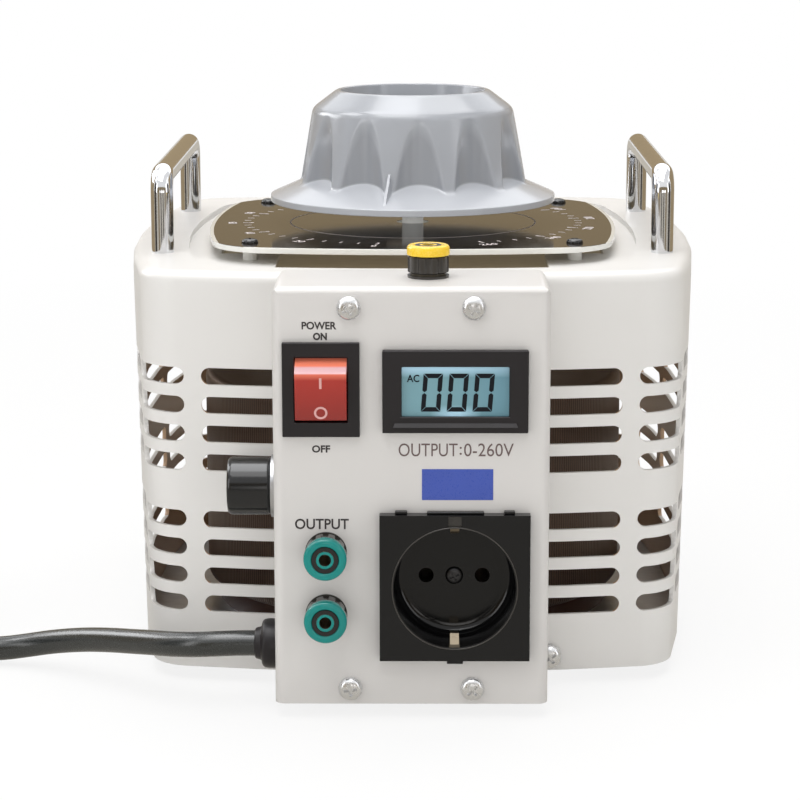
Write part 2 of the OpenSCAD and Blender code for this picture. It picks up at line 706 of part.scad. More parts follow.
collar_r = 7;
collar_t = 0.8;
washer_t = 0.8;
washer_r = 6;
nut_r = 6;
nut_t = 4;
sleeve_r = 4.4;
ring_l = 3.5;
lobes = 10;
lobe_r = 1.2;
stud_tail = 12;
bore_deep = 14;
washer_top = collar_t + washer_t;
module post_bushes() color(black) stand() at_all_posts() difference() {
    union() {
        rod(collar_r, 0, collar_t);
        rod(post_neck_r, -wall, 0);
    }
    rod(stud_r + run, -wall - over, collar_t + over);
}
module post_studs() color(brass) stand() at_all_posts() difference() {
    rod(stud_r, -wall - stud_tail, post_out - 0.4);
    rod(post_bore_r, post_out - bore_deep, post_out + over);
}
module post_washer() tube_ring(washer_r, stud_r + run, collar_t, washer_top);
module post_cap() difference() {
    union() {
        difference() {
            rod(post_ring_r - 0.3, washer_top, post_out - ring_l);
            for (i = [0:lobes - 1]) rotate([0, 0, 360 * i / lobes]) translate([post_ring_r + 0.3, 0, 0])
                rod(lobe_r, washer_top - over, post_out - ring_l + over);
        }
        rod(sleeve_r, post_out - ring_l, post_out - 0.2);
    }
    rod(stud_r + run, washer_top - over, post_out + over);
}
module post_ring() tube_ring(post_ring_r, sleeve_r + run, post_out - ring_l, post_out);
module at_upper_post() translate([post_x, -box_front, post_high_z]) forward() children();
module at_lower_post() translate([post_x, -box_front, post_low_z]) forward() children();
module upper_post_washer() color(brass) stand() at_upper_post() post_washer();
module upper_post_cap() color(black) stand() at_upper_post() post_cap();
module upper_post_ring() color(teal) stand() at_upper_post() post_ring();
module lower_post_washer() color(brass) stand() at_lower_post() post_washer();
module lower_post_cap() color(black) stand() at_lower_post() post_cap();
module lower_post_ring() color(teal) stand() at_lower_post() post_ring();
module earth_post_washer() color(brass) stand() at_earth_post() post_washer();
module earth_post_cap() color(black) stand() at_earth_post() post_cap();
module earth_post_ring() color(yellow) stand() at_earth_post() post_ring();

// Fuse holder, with a cap that carries the fuse out

fuse_flange_r = 10.4;
fuse_flange_t = 1.5;
fuse_tube_l = 36;
fuse_bore_r = 5.6;
fuse_stem_r = 5.3;
fuse_stem_l = 9;
fuse_r = 2.6;
fuse_l = 20;
fuse_pocket = 4;
fuse_nut_r = 10;
module fuse_holder() color(black) stand() at_fuse() difference() {
    union() {
        rod(fuse_flange_r, 0, fuse_flange_t);
        rod(fuse_tube_r, -fuse_tube_l, 0);
    }
    rod(fuse_bore_r, -fuse_tube_l + 2, fuse_flange_t + over);
}
module fuse_cap() color(black) stand() at_fuse() difference() {
    union() {
        rod(fuse_cap_r, fuse_flange_t + fit, fuse_flange_t + fit + fuse_cap_l);
        rod(fuse_stem_r, -fuse_stem_l, fuse_flange_t + fit);
    }
    rod(fuse_r + run, -fuse_stem_l - over, -fuse_stem_l + fuse_pocket);
}
module fuse_link() color(steel) stand() at_fuse()
    rod(fuse_r, -fuse_stem_l + fuse_pocket - fuse_l - run, -fuse_stem_l + fuse_pocket - run);

// Cable gland, with a short tapered collar outside and a clamp nut inside

gland_flange_r = 8.4;
gland_flange_t = 5;
gland_collar = 2.5;
gland_inside = 14;
gland_bore_r = cord_r + 0.15;
gland_nut_r = 9.4;
module cord_gland() color(black) stand() at_gland() difference() {
    union() {
        rod(gland_flange_r, 0, gland_flange_t);
        translate([0, 0, gland_flange_t])
            cylinder(r1 = gland_bore_r + 1.3, r2 = gland_bore_r + 0.6, h = gland_collar);
        rod(gland_neck_r, -gland_inside, 0);
    }
    rod(gland_bore_r, -gland_inside - over, gland_flange_t + gland_collar + over);
}
module hex_nut(r, inner, t) translate([0, 0, -wall - t]) difference() {
    cylinder(r = r, h = t, $fn = 6);
    translate([0, 0, -over]) cylinder(r = inner, h = t + 2 * over);
}
module panel_nuts() color(steel) stand() {
    at_all_posts() hex_nut(nut_r, stud_r + run, nut_t);
    at_fuse() hex_nut(fuse_nut_r, fuse_tube_r + run, nut_t);
    at_gland() hex_nut(gland_nut_r, gland_neck_r + run, nut_t);
}

// Mains lead: the stretch from the gland, then the spare length wound in a tied coil

// Tie under the coil
tie_t = 1;
// Height of the lead's middle where it lies on the tie
cord_rest = cord_r + tie_t + 0.25;
// Free stretch from the gland to the coil, as three values a point:
// how far left of the box, how far behind the gland, and the share of the drop that is left
cord_lay = [[0, 0, 1], [12, 0, 1], [20, 0.2, 0.98], [28, 2, 0.93], [36, 6.5, 0.855], [44, 12.9, 0.77],
    [52, 19.9, 0.67], [60, 26.7, 0.573], [68, 32.9, 0.47], [76, 38.3, 0.354], [84, 42.7, 0.232],
    [92, 45.7, 0.11], [101, 47.4, 0.012], [112, 48, -0.024], [124, 48.2, -0.024], [136, 48.4, -0.018],
    [148, 48.5, -0.012], [159, 48.6, -0.006], [168, 48.6, 0]];
cord_route = [for (p = cord_lay)
    [-box_w / 2 - p.x, axis_y - gland_front + p.y, cord_rest + p.z * (gland_z - cord_rest)]];
cord_sides = 10;
coil_sides = 6;
// Gap between turns, tightest turn and number of turns
coil_gap = 0.6;
coil_in_r = 38;
coil_turns = 4.25;
coil_rings = 24;
coil_pitch = 2 * cord_r + coil_gap;
coil_out_r = coil_in_r + coil_pitch * coil_turns / 2;
coil_start = cord_route[len(cord_route) - 1];
// The lead runs straight for one diameter before it turns
coil_mid = [coil_start.x - 2 * cord_r, coil_start.y + coil_out_r];
// Height of the coil's centreline after t turns: it climbs a layer in the half turn about the middle
function smooth(s) = s * s * (3 - 2 * s);
function climb(t) = let (s = (t - coil_turns / 2) / 0.5 + 0.5) s <= 0 ? 0 : s >= 1 ? 1 : smooth(s);
function coil_point(t) =
    let (r = coil_in_r + coil_pitch * abs(t - coil_turns / 2), a = -90 - 360 * t)
    [coil_mid.x + r * cos(a), coil_mid.y + r * sin(a), coil_start.z + coil_pitch * climb(t)];
coil_count = ceil(coil_turns * coil_rings);
coil_turned = [for (i = [0:coil_count]) coil_point(coil_turns * i / coil_count)];
coil_end = coil_turned[coil_count];
// Least gap between stretches of the coil that lie more than half a turn apart
coil_least = min([for (i = [0:coil_count]) for (j = [0:1:i - coil_rings / 2])
    norm(coil_turned[i] - coil_turned[j])]) - 2 * cord_r;
echo("least gap between turns of the coil", coil_least);

function unit(v) = v / norm(v);
function run_of(path, i) = unit(path[min(i + 1, len(path) - 1)] - path[max(i - 1, 0)]);
function ring_at(path, i, r, n, up) =
    let (t = run_of(path, i), s = unit(cross(t, up)), u = cross(s, t))
    [for (k = [0:n - 1]) path[i] + r * (cos(360 * k / n) * s + sin(360 * k / n) * u)];
// One closed tube of radius r and n sides along a path
module tube(path, r, n, up = [0, 0, 1]) {
    rings = len(path);
    points = [for (i = [0:rings - 1]) each ring_at(path, i, r, n, up)];
    sides = [for (i = [0:rings - 2], k = [0:n - 1]) let (a = i * n + k, b = i * n + (k + 1) % n)
        each [[a, b, b + n], [a, b + n, a + n]]];
    caps = [for (k = [1:n - 2]) each [[0, k + 1, k], [for (m = [0, k, k + 1]) (rings - 1) * n + m]]];
    polyhedron(points, concat(sides, caps));
}
module cord_run() color(cord_black) tube(cord_route, cord_r, cord_sides);
// The coil's last turn runs out straight and rises to the plug
plug_r = 18.5;
plug_neck = 22;
plug_tail = 54;
plug_at = [coil_end.x, coil_end.y + plug_tail, max(coil_end.z, plug_r + 0.1)];
plug_rise = plug_at.z - coil_end.z;
coil_path = concat([coil_start], coil_turned, [coil_end + [0, 2 * cord_r, 0],
    coil_end + [0, plug_tail - plug_neck - 2 * cord_r, plug_rise * 0.8], plug_at - [0, plug_neck, 0]]);
module cord_coil() color(cord_black) tube(coil_path, cord_r, coil_sides);

tie_w = 8;
tie_angle = 30;
tie_room = 0.6;
module cord_tie() color(black) {
    low = coil_start.z - cord_r - tie_room / 2;
    high = coil_start.z + coil_pitch + cord_r + tie_room;
    first = (270 - tie_angle) / 360;
    turns = [for (t = [first:1:coil_turns]) coil_in_r + coil_pitch * abs(t - coil_turns / 2)];
    near = min(turns) - cord_r - tie_room;
    far = max(turns) + cord_r + tie_room;
    translate([coil_mid.x, coil_mid.y, 0]) rotate([0, 0, tie_angle]) difference() {
        translate([near - tie_t, -tie_w / 2, max(0, low - tie_t)])
            cube([far - near + 2 * tie_t, tie_w, high + tie_t - max(0, low - tie_t)]);
        translate([near, -tie_w, low]) cube([far - near, 2 * tie_w, high - low]);
    }
}

// Straight two-pin plug with earth strips, on the end of the coil

plug_l = 34;
plug_pin_r = 2.4;
plug_pin_l = 19;
plug_strip_w = 5;
module at_plug() translate(plug_at) rotate([-90, 0, 0]) children();
module plug_body() color(black) {
    at_plug() {
        translate([0, 0, -plug_neck]) cylinder(r1 = cord_r + 1, r2 = plug_r * 0.62, h = plug_neck + over);
        difference() {
            rod(plug_r, 0, plug_l);
            for (s = [-1, 1]) translate([0, s * plug_r, 0])
                centred(plug_strip_w + 2 * fit, 3, plug_l - 16, plug_l + over);
        }
    }
}
module plug_pins() color(steel) at_plug() {
    at_pins() rod(plug_pin_r, plug_l, plug_l + plug_pin_l);
    for (s = [-1, 1]) translate([0, s * (plug_r - 1), 0])
        centred(plug_strip_w, 0.8, plug_l - 16, plug_l - 2);
}

// Transformer: ring core in its winding, clamped to the base plate by the bearing tube

winding_round = 3;
winding_r = core_r + winding_t;
winding_in_r = core_in_r - winding_t;
tube_bore = tube_r - 3;
tube_foot_r = 28;
tube_foot_t = 4;
tube_top = winding_top + 12;
clamp_t = 3;
clamp_r = core_in_r + 2;
clamp_spigot = 6;
clamp_hub_h = 8;
stop_r = 3;
stop_at = 40;
stop_h = 18;
// Angle of the brush arm at rest, in line with the pointer, and of the fixed stop in the dead sector
rest_angle = 270 - pointer_angle;
stop_angle = rest_angle + (360 - knob_travel) / 2;
module core() color(core_grey) stand()
    tube_ring(core_r - fit, core_in_r + fit, core_z + fit, core_z + core_h - fit);
// The winding leaves a short gap round the stop, where the bare core shows
winding_sweep = knob_travel + 14;
module winding() color(copper) stand() rotate([0, 0, stop_angle + (360 - winding_sweep) / 2])
    rotate_extrude(angle = winding_sweep) difference() {
    translate([(winding_in_r + winding_r) / 2, (winding_z + winding_top) / 2])
        rounded(winding_r - winding_in_r, winding_top - winding_z, winding_round);
    translate([core_in_r, core_z]) square([core_r - core_in_r, core_h]);
}
module winding_base() color(bakelite) stand() tube_ring(core_r, core_in_r, base_top, winding_z);
module bearing_tube() color(steel) stand() difference() {
    union() {
        rod(tube_r, base_top, tube_top);
        rod(tube_foot_r, base_top, base_top + tube_foot_t);
    }
    rod(tube_bore, base_top - over, tube_top + over);
}
module core_clamp() color(bakelite) stand() {
    difference() {
        union() {
            rod(clamp_r, winding_top, winding_top + clamp_t);
            rod(winding_in_r - fit, winding_top - clamp_spigot, winding_top);
            rod6(tube_r + 7, winding_top + clamp_t, winding_top + clamp_hub_h);
        }
        rod(tube_r + run, winding_top - clamp_spigot - over, winding_top + clamp_hub_h + over);
    }
    rotate([0, 0, stop_angle]) translate([stop_at, 0, 0])
        rod(stop_r, winding_top + over, winding_top + stop_h);
}
bush_l = 14;
bush_flange = 2;
module shaft_bushes() color(brass) stand() {
    tube_ring(tube_bore - run, shaft_r + run, base_top, base_top + bush_l);
    difference() {
        union() {
            rod(tube_bore - run, tube_top - bush_l, tube_top);
            rod(tube_r - over, tube_top, tube_top + bush_flange);
        }
        rod(shaft_r + run, tube_top - bush_l - over, tube_top + bush_flange + over);
    }
}

// Turning pieces: shaft, brush arm, brush, slip ring and knob

arm_z = tube_top + bush_flange + pass;
arm_t = 6;
hub_r = 11;
hub_h = 12;
shaft_shoulder = 2;
brush_at = (core_r + core_in_r) / 2 + 8;
brush_w = 6;
brush_l = 12;
holder_wall = 2;
holder_drop = 10;
slip_r = 16;
slip_h = 4;
arm_tip = brush_at + brush_l / 2 + holder_wall;
module turned() rotate([0, 0, rest_angle]) children();
module shaft() color(steel) stand() {
    rod(shaft_r, foot_h + 0.5, knob_top - dish_deep - knob_floor - 2);
    rod(shaft_r + shaft_shoulder, base_top + bush_l + 0.1, base_top + bush_l + 4);
}
module brush_arm() color(steel) stand() turned() difference() {
    union() {
        rod(hub_r, arm_z, arm_z + hub_h);
        translate([0, -arm_w / 2, arm_z]) cube([arm_tip, arm_w, arm_t]);
        translate([brush_at, 0, 0])
            centred(brush_l + 2 * holder_wall, brush_w + 2 * holder_wall,
                arm_z - holder_drop, arm_z + arm_t);
    }
    rod(shaft_r + run, arm_z - over, arm_z + hub_h + over);
    translate([brush_at, 0, 0])
        centred(brush_l + 2 * run, brush_w + 2 * run, arm_z - holder_drop - over, arm_z + arm_t + over);
}
module brush() color(black) stand() turned() translate([brush_at, 0, 0])
    centred(brush_l, brush_w, winding_top + run, arm_z + arm_t - 2);
module slip_ring() color(brass) stand()
    tube_ring(slip_r, shaft_r + run, arm_z + hub_h, arm_z + hub_h + slip_h);
collector_w = 6;
collector_t = 1;
collector_at = 44;
collector_angle = 90;
module collector_arm() color(brass) stand() rotate([0, 0, collector_angle]) {
    z = arm_z + hub_h + slip_h / 2;
    translate([slip_r + pass, -collector_w / 2, z])
        cube([collector_at - slip_r - pass, collector_w, collector_t]);
    translate([collector_at - collector_t, -collector_w / 2, z])
        cube([collector_t, collector_w, board_top - board_t - z]);
}

flange_t = 2.4;
foot_rise = 4.6;
shoulder_drop = 6.7;
rim_w = 2.1;
dish_deep = 10;
knob_wall = 3;
knob_floor = 3;
knob_hub_r = 10;
roof_z = knob_top - dish_deep - knob_floor;
flute_reach = knob_shoulder_r - 0.4;
flute_sink = 1.5;
pointer_r = 50.5;
pointer_w = 5;
pointer_h = 13;
set_screw_r = 2;
set_screw_z = 10;
module knob_outer() rotate_extrude() polygon([[0, knob_z], [flange_r, knob_z],
    [flange_r, knob_z + flange_t], [knob_foot_r, knob_z + flange_t + foot_rise],
    [knob_shoulder_r, knob_top - shoulder_drop], [knob_rim_r, knob_top], [0, knob_top]]);
// Sloped skirt that runs on into the flutes, a hair below the outer form
skirt_z = knob_z + flange_t - skin;
skirt_in = flute_reach - 1;
skirt_top = skirt_z + foot_rise * (flange_r - skirt_in) / (flange_r - knob_foot_r);
module knob_skirt() rotate_extrude() polygon([[0, knob_z + skin], [flange_r - skin, knob_z + skin],
    [flange_r - skin, skirt_z], [skirt_in, skirt_top], [0, skirt_top]]);
module knob_hollow() rotate_extrude() polygon([[knob_hub_r, knob_z - over], [flange_r - 6, knob_z - over],
    [flange_r - 6, knob_z], [flute_reach - knob_wall, knob_z + flange_t + foot_rise - knob_wall],
    [flute_reach - knob_wall - 1, roof_z - 3], [knob_rim_r - rim_w - knob_wall, roof_z],
    [knob_hub_r, roof_z]]);
module knob_dish() rotate_extrude() polygon([[0, knob_top - dish_deep],
    [knob_rim_r - rim_w - 1.5, knob_top - dish_deep], [knob_rim_r - rim_w, knob_top],
    [knob_rim_r - rim_w, knob_top + over], [0, knob_top + over]]);
module pointer() rotate([90, 0, 0]) intersection() {
    translate([0, 0, -pointer_w]) linear_extrude(2 * pointer_w) polygon([
        [flute_reach - 1, knob_z + flange_t + pointer_h],
        [knob_foot_r, knob_z + flange_t + pointer_h - 4], [pointer_r, knob_z + flange_t + 1],
        [pointer_r, knob_z + 1], [flute_reach - 1, knob_z + 1]]);
    translate([0, knob_z, 0]) rotate([-90, 0, 0]) linear_extrude(knob_h) polygon([
        [flute_reach - 1, -pointer_w / 2], [pointer_r, 0], [flute_reach - 1, pointer_w / 2]]);
}
module knob() color(knob_grey) stand() turned() difference() {
    union() {
        difference() {
            knob_outer();
            for (i = [0:flutes - 1]) rotate([0, 0, 360 * (i + 0.5) / flutes])
                translate([flute_reach + flute_r, 0, 0])
                    rod(flute_r, knob_z + flange_t + foot_rise - flute_sink, knob_top + over);
        }
        knob_skirt();
        pointer();
    }
    knob_hollow();
    knob_dish();
    rod(shaft_r + run, knob_z - over, knob_top - dish_deep - knob_floor - 2 + run);
    translate([0, 0, knob_z + set_screw_z]) rotate([0, 90, 0])
        cylinder(r = set_screw_r + run, h = knob_hub_r + over);
}
module knob_set_screw() color(steel) stand() turned()
    translate([0, 0, knob_z + set_screw_z]) rotate([0, 90, 0])
        rod(set_screw_r, shaft_r + run, knob_hub_r - 0.5);

// Insulated wires inside the control box, from the gland to the switch

wire_r = 1.3;
wire_sides = 8;
wire_apart = 2;
wire_turn = 8;
wire_lane = 5;
module wire(side, lane) {
    low = gland_z - side * wire_apart;
    high = switch_z - terminal_row;
    bend = gland_inside + lane - box_w / 2;
    near = -gland_front;
    far = switch_deep + terminal_l + wire_r + fit - box_front;
    end = switch_x + side * terminal_x;
    tube([[fit - box_w / 2, near, low], [bend - wire_turn / 2, near, low],
        [bend, (near + far) / 2, low + wire_turn], [bend, far, low + 3 * wire_turn],
        [bend, far, high - 3 * wire_turn], [end, far, high - wire_turn],
        [end, far, high + terminal_w / 2]], wire_r, wire_sides, [0.3, 1, 0.2]);
}
module wiring() color(copper) stand() {
    wire(-1, wire_turn);
    wire(1, wire_turn + wire_lane);
}

base_plate();
housing_shell();
top_cover();
control_box();
panel_standoffs();
panel_screws();
base_screws();
rubber_feet();
handle_left();
handle_right();
handle_screws();
guard_board();
dial_plate();
dial_spacers();
dial_screws();
switch_body();
rocker();
switch_terminals();
meter_case();
meter_display();
socket_cover();
socket_base();
socket_contacts();
socket_earth_clips();
socket_screw();
post_bushes();
post_studs();
panel_nuts();
upper_post_washer();
upper_post_cap();
upper_post_ring();
lower_post_washer();
lower_post_cap();
lower_post_ring();
earth_post_washer();
earth_post_cap();
earth_post_ring();
fuse_holder();
fuse_link();
fuse_cap();
cord_gland();
cord_run();
cord_coil();
cord_tie();
plug_body();
plug_pins();
core();
winding();
winding_base();
bearing_tube();
core_clamp();
shaft_bushes();
shaft();
brush_arm();
brush();
slip_ring();
collector_arm();
knob();
knob_set_screw();
wiring();
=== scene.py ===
import math

import bmesh
import bpy
from mathutils import Matrix, Vector


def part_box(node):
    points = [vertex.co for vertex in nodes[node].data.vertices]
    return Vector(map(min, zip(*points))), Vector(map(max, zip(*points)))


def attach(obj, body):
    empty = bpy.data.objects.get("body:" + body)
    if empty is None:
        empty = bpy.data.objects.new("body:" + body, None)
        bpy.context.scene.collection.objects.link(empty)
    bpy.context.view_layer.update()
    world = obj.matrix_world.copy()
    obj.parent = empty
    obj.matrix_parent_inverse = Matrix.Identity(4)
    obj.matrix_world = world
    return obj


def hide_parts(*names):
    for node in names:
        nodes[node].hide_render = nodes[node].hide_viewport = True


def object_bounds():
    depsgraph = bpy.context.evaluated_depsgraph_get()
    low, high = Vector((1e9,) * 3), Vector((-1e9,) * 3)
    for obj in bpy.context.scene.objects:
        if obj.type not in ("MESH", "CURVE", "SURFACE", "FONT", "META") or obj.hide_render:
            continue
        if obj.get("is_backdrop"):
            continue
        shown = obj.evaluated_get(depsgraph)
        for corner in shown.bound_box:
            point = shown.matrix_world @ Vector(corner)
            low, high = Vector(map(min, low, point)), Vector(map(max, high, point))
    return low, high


# Looks of a bench variable transformer: finishes, lettering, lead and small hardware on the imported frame

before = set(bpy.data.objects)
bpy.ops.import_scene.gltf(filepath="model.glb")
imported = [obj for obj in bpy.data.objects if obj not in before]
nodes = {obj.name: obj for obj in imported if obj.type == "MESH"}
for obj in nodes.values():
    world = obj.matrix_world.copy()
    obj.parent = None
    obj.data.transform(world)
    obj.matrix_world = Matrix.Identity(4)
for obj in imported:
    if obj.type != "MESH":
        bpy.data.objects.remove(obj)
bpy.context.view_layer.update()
scene = bpy.context.scene

# Pieces are in millimetres of the dial's frame: the dial's axis is X = 0, Y = 0, and the front faces -Y.
# Finishes, the stage and the lamps are in metres of the object's frame.
MM = 0.001
AXIS_Y = 18.5
BODY_Y = 3.5
BODY_TOP = 146.0
BOX_FRONT = 141.5
BOX_SIDE = 45.85
BOX_TOP = 146.8
DIAL_TOP = 149.8
CORD_R = 4.35
OUTLET_X, OUTLET_Z, OUTLET_FLOOR, OUTLET_FACE = 14.45, 46.1, 13.5, 4.0
POST_X = -28.4
# Print stands this far off its surface and is this thick
INK_LIFT, INK_THICK = 0.01, 0.05

# Knob: edge of its flange, foot of the ridges on the skirt, and shoulder below the slanted rim
FLANGE_R, FLANGE_Z = 53.5, 160.7
RIDGE_R, RIDGE_Z = 43.0, 165.3
SHOULDER_R, SHOULDER_Z = 37.5, 193.0
SKIRT_SLOPE = (RIDGE_Z - FLANGE_Z) / (FLANGE_R - RIDGE_R)
SIDE_SLOPE = (RIDGE_R - SHOULDER_R) / (SHOULDER_Z - RIDGE_Z)


def place(x, y, z):
    """A point of the dial's frame as metres in the object's frame."""
    return Vector((x * MM, (y + AXIS_Y) * MM, z * MM))


def link(name, data):
    """A new object of the scene."""
    item = bpy.data.objects.new(name, data)
    scene.collection.objects.link(item)
    return item


# Camera


def photo_camera():
    """The camera that was fitted to the photo."""
    pitch, yaw, roll = (math.radians(angle) for angle in (11.384, -0.488, -0.07))
    ahead = Vector((math.sin(yaw) * math.cos(pitch), math.cos(yaw) * math.cos(pitch), -math.sin(pitch)))
    level = Vector((math.cos(yaw), -math.sin(yaw), 0))
    upright = level.cross(ahead)
    right = level * math.cos(roll) + upright * math.sin(roll)
    up = upright * math.cos(roll) - level * math.sin(roll)
    data = bpy.data.cameras.new("photo_view")
    data.sensor_width = 36
    data.lens = 118.06
    camera = link("photo_view", data)
    turn = Matrix((right, up, -ahead)).transposed().to_4x4()
    camera.matrix_world = Matrix.Translation(place(3.49, -987.28, 279.6)) @ turn
    scene.camera = camera


photo_camera()
scene.view_settings.view_transform = "Standard"


# Mains lead: the same route as the solids, in millimetres of the object's frame


def cord_route():
    """Points of the lead from inside the gland, along the table and round the coil to the plug."""
    table_z, gland_y, gland_z = CORD_R + 1.25, -109.0, 22.0
    # Distance out from the box, distance back from the gland, and share of the gland's height
    lay = ((0, 0, 1), (12, 0, 1), (20, 0.2, 0.98), (28, 2, 0.93), (36, 6.5, 0.855), (44, 12.9, 0.77),
           (52, 19.9, 0.67), (60, 26.7, 0.573), (68, 32.9, 0.47), (76, 38.3, 0.354), (84, 42.7, 0.232),
           (92, 45.7, 0.11), (101, 47.4, 0.012), (112, 48, -0.024), (124, 48.2, -0.024), (136, 48.4, -0.018),
           (148, 48.5, -0.012), (159, 48.6, -0.006), (168, 48.6, 0))
    fall = gland_z - table_z
    path = [Vector((-BOX_SIDE - out, gland_y + back, table_z + share * fall)) for out, back, share in lay]
    turns, inner, pitch, points_a_turn = 4.25, 38.0, 2 * CORD_R + 0.6, 24
    outer = inner + pitch * turns / 2
    start = path[-1]
    middle = Vector((start.x - 2 * CORD_R, start.y + outer, start.z))
    count = math.ceil(turns * points_a_turn)
    for i in range(count + 1):
        done = turns * i / count
        radius = inner + pitch * abs(done - turns / 2)
        angle = math.radians(-90 - 360 * done)
        share = min(max((done - turns / 2) / 0.5 + 0.5, 0), 1)
        climb = share * share * (3 - 2 * share)
        path.append(middle + Vector((radius * math.cos(angle), radius * math.sin(angle), pitch * climb)))
    end = path[-1]
    tail, neck, plug_z = 54.0, 22.0, 18.6
    rise = max(end.z, plug_z) - end.z
    path.append(end + Vector((0, 2 * CORD_R, 0)))
    path.append(end + Vector((0, tail - neck - 2 * CORD_R, rise * 0.8)))
    path.append(end + Vector((0, tail - neck, rise)))
    return path


def smoothed(path, parts):
    """The path with extra points on a smooth curve through its own."""
    result = []
    last = len(path) - 1
    for i in range(last):
        a, b, c, d = path[max(i - 1, 0)], path[i], path[i + 1], path[min(i + 2, last)]
        for k in range(parts):
            t = k / parts
            bend = (2 * a - 5 * b + 4 * c - d) * t * t
            result.append(0.5 * (2 * b + (c - a) * t + bend + (3 * b - a - 3 * c + d) * t ** 3))
    result.append(path[last])
    return result


def make_lead():
    """The lead as one open curve with a round section."""
    points = smoothed(cord_route(), 4)
    curve = bpy.data.curves.new("mains_lead", "CURVE")
    curve.dimensions = "3D"
    curve.bevel_depth = CORD_R * MM
    curve.bevel_resolution = 6
    curve.use_fill_caps = True
    spline = curve.splines.new("POLY")
    spline.points.add(len(points) - 1)
    for spot, point in zip(spline.points, points):
        spot.co = (point.x * MM, point.y * MM, point.z * MM, 1)
    spline.use_smooth = True
    return link("mains_lead", curve)


lead = make_lead()


# Node graphs: sockets that take arithmetic, and one way to add any other node


def arithmetic(operation, reflected=False):
    """An operator of Wire that adds one Math node."""
    def operator(self, other):
        pair = (other, self) if reflected else (self, other)
        return self.graph.math(operation, *pair)
    return operator


class Wire:
    """A socket of a node graph. Arithmetic on it adds Math nodes."""

    def __init__(self, graph, socket):
        self.graph = graph
        self.socket = socket

    __add__ = arithmetic("ADD")
    __radd__ = arithmetic("ADD", True)
    __sub__ = arithmetic("SUBTRACT")
    __rsub__ = arithmetic("SUBTRACT", True)
    __mul__ = arithmetic("MULTIPLY")
    __rmul__ = arithmetic("MULTIPLY", True)
    __gt__ = arithmetic("GREATER_THAN")
    __lt__ = arithmetic("LESS_THAN")


class Graph:
    """One node tree, of a material, the world or a geometry group."""

    def __init__(self, tree):
        self.tree = tree

    def feed(self, socket, value):
        if isinstance(value, Wire):
            self.tree.links.new(value.socket, socket)
        else:
            socket.default_value = value

    def add(self, kind, settings=None, sockets=None, out=0):
        """Adds a node, sets its settings first and then its sockets, and gives back one of its outputs."""
        node = self.tree.nodes.new(kind)
        for key, value in (settings or {}).items():
            setattr(node, key, value)
        for key, value in (sockets or {}).items():
            self.feed(node.inputs[key], value)
        return Wire(self, node.outputs[out])

    def math(self, operation, *values):
        return self.add("ShaderNodeMath", {"operation": operation}, dict(enumerate(values)))

    def blend(self, share, first, second):
        """A colour between two colours."""
        return self.add("ShaderNodeMix", {"data_type": "RGBA"}, {0: share, 6: first, 7: second}, 2)

    def spread(self, value, low, high, out_low=0.0, out_high=1.0):
        """Maps a range of values to another, clamped at its ends."""
        return self.add("ShaderNodeMapRange", None, {0: value, 1: low, 2: high, 3: out_low, 4: out_high})

    def surface(self, wire):
        """Ends the graph of a material or of the world."""
        output = next(node for node in self.tree.nodes if node.type.startswith("OUTPUT"))
        self.tree.links.new(wire.socket, output.inputs["Surface"])


def node_material(name):
    material = bpy.data.materials.new(name)
    material.use_nodes = True
    return material


def rgb(red, green, blue):
    """A colour written as display values from 0 to 255, as the linear colour that a shader takes."""
    def linear(value):
        share = value / 255
        return share / 12.92 if share <= 0.04045 else ((share + 0.055) / 1.055) ** 2.4
    return (linear(red), linear(green), linear(blue), 1.0)


def shade(colour, share):
    return (colour[0] * share, colour[1] * share, colour[2] * share, 1.0)


class Finish(Graph):
    """One material with a Principled shader, patterned on the piece's own coordinates."""

    def __init__(self, name, **fixed):
        self.material = node_material(name)
        super().__init__(self.material.node_tree)
        self.shader = self.tree.nodes["Principled BSDF"]
        self.spot = self.add("ShaderNodeTexCoord", None, None, "Object")
        self.set(**fixed)

    def set(self, **values):
        for key, value in values.items():
            self.feed(self.shader.inputs[key.replace("_", " ")], value)
        return self

    def noise(self, scale, detail=2.0, rough=0.5, spot=None):
        return self.add("ShaderNodeTexNoise", None,
                        {"Vector": spot or self.spot, "Scale": scale, "Detail": detail, "Roughness": rough})

    def axes(self):
        node = self.tree.nodes.new("ShaderNodeSeparateXYZ")
        self.tree.links.new(self.spot.socket, node.inputs[0])
        return [Wire(self, socket) for socket in node.outputs]

    def stretched(self, x, y, z):
        return self.add("ShaderNodeMapping", None, {"Vector": self.spot, "Scale": (x, y, z)})

    def bump(self, height, strength, distance):
        self.set(Normal=self.add("ShaderNodeBump", None,
                                 {"Strength": strength, "Distance": distance, "Height": height}))
        return self


# Finishes


def moulded(name, colour, rough, bump=0.12, grain=1400, tone=0.86, **fixed):
    """Moulded plastic or rubber: a fine grain, a slow change of tone and uneven gloss."""
    finish = Finish(name, **fixed)
    fine = finish.noise(grain, 3)
    slow = finish.noise(45, 2)
    finish.set(Base_Color=finish.blend(finish.spread(slow, 0.35, 0.7), colour, shade(colour, tone)))
    finish.set(Roughness=rough + (fine - 0.5) * 0.16 + (slow - 0.5) * 0.1)
    return finish.bump(fine, bump, 0.00012)


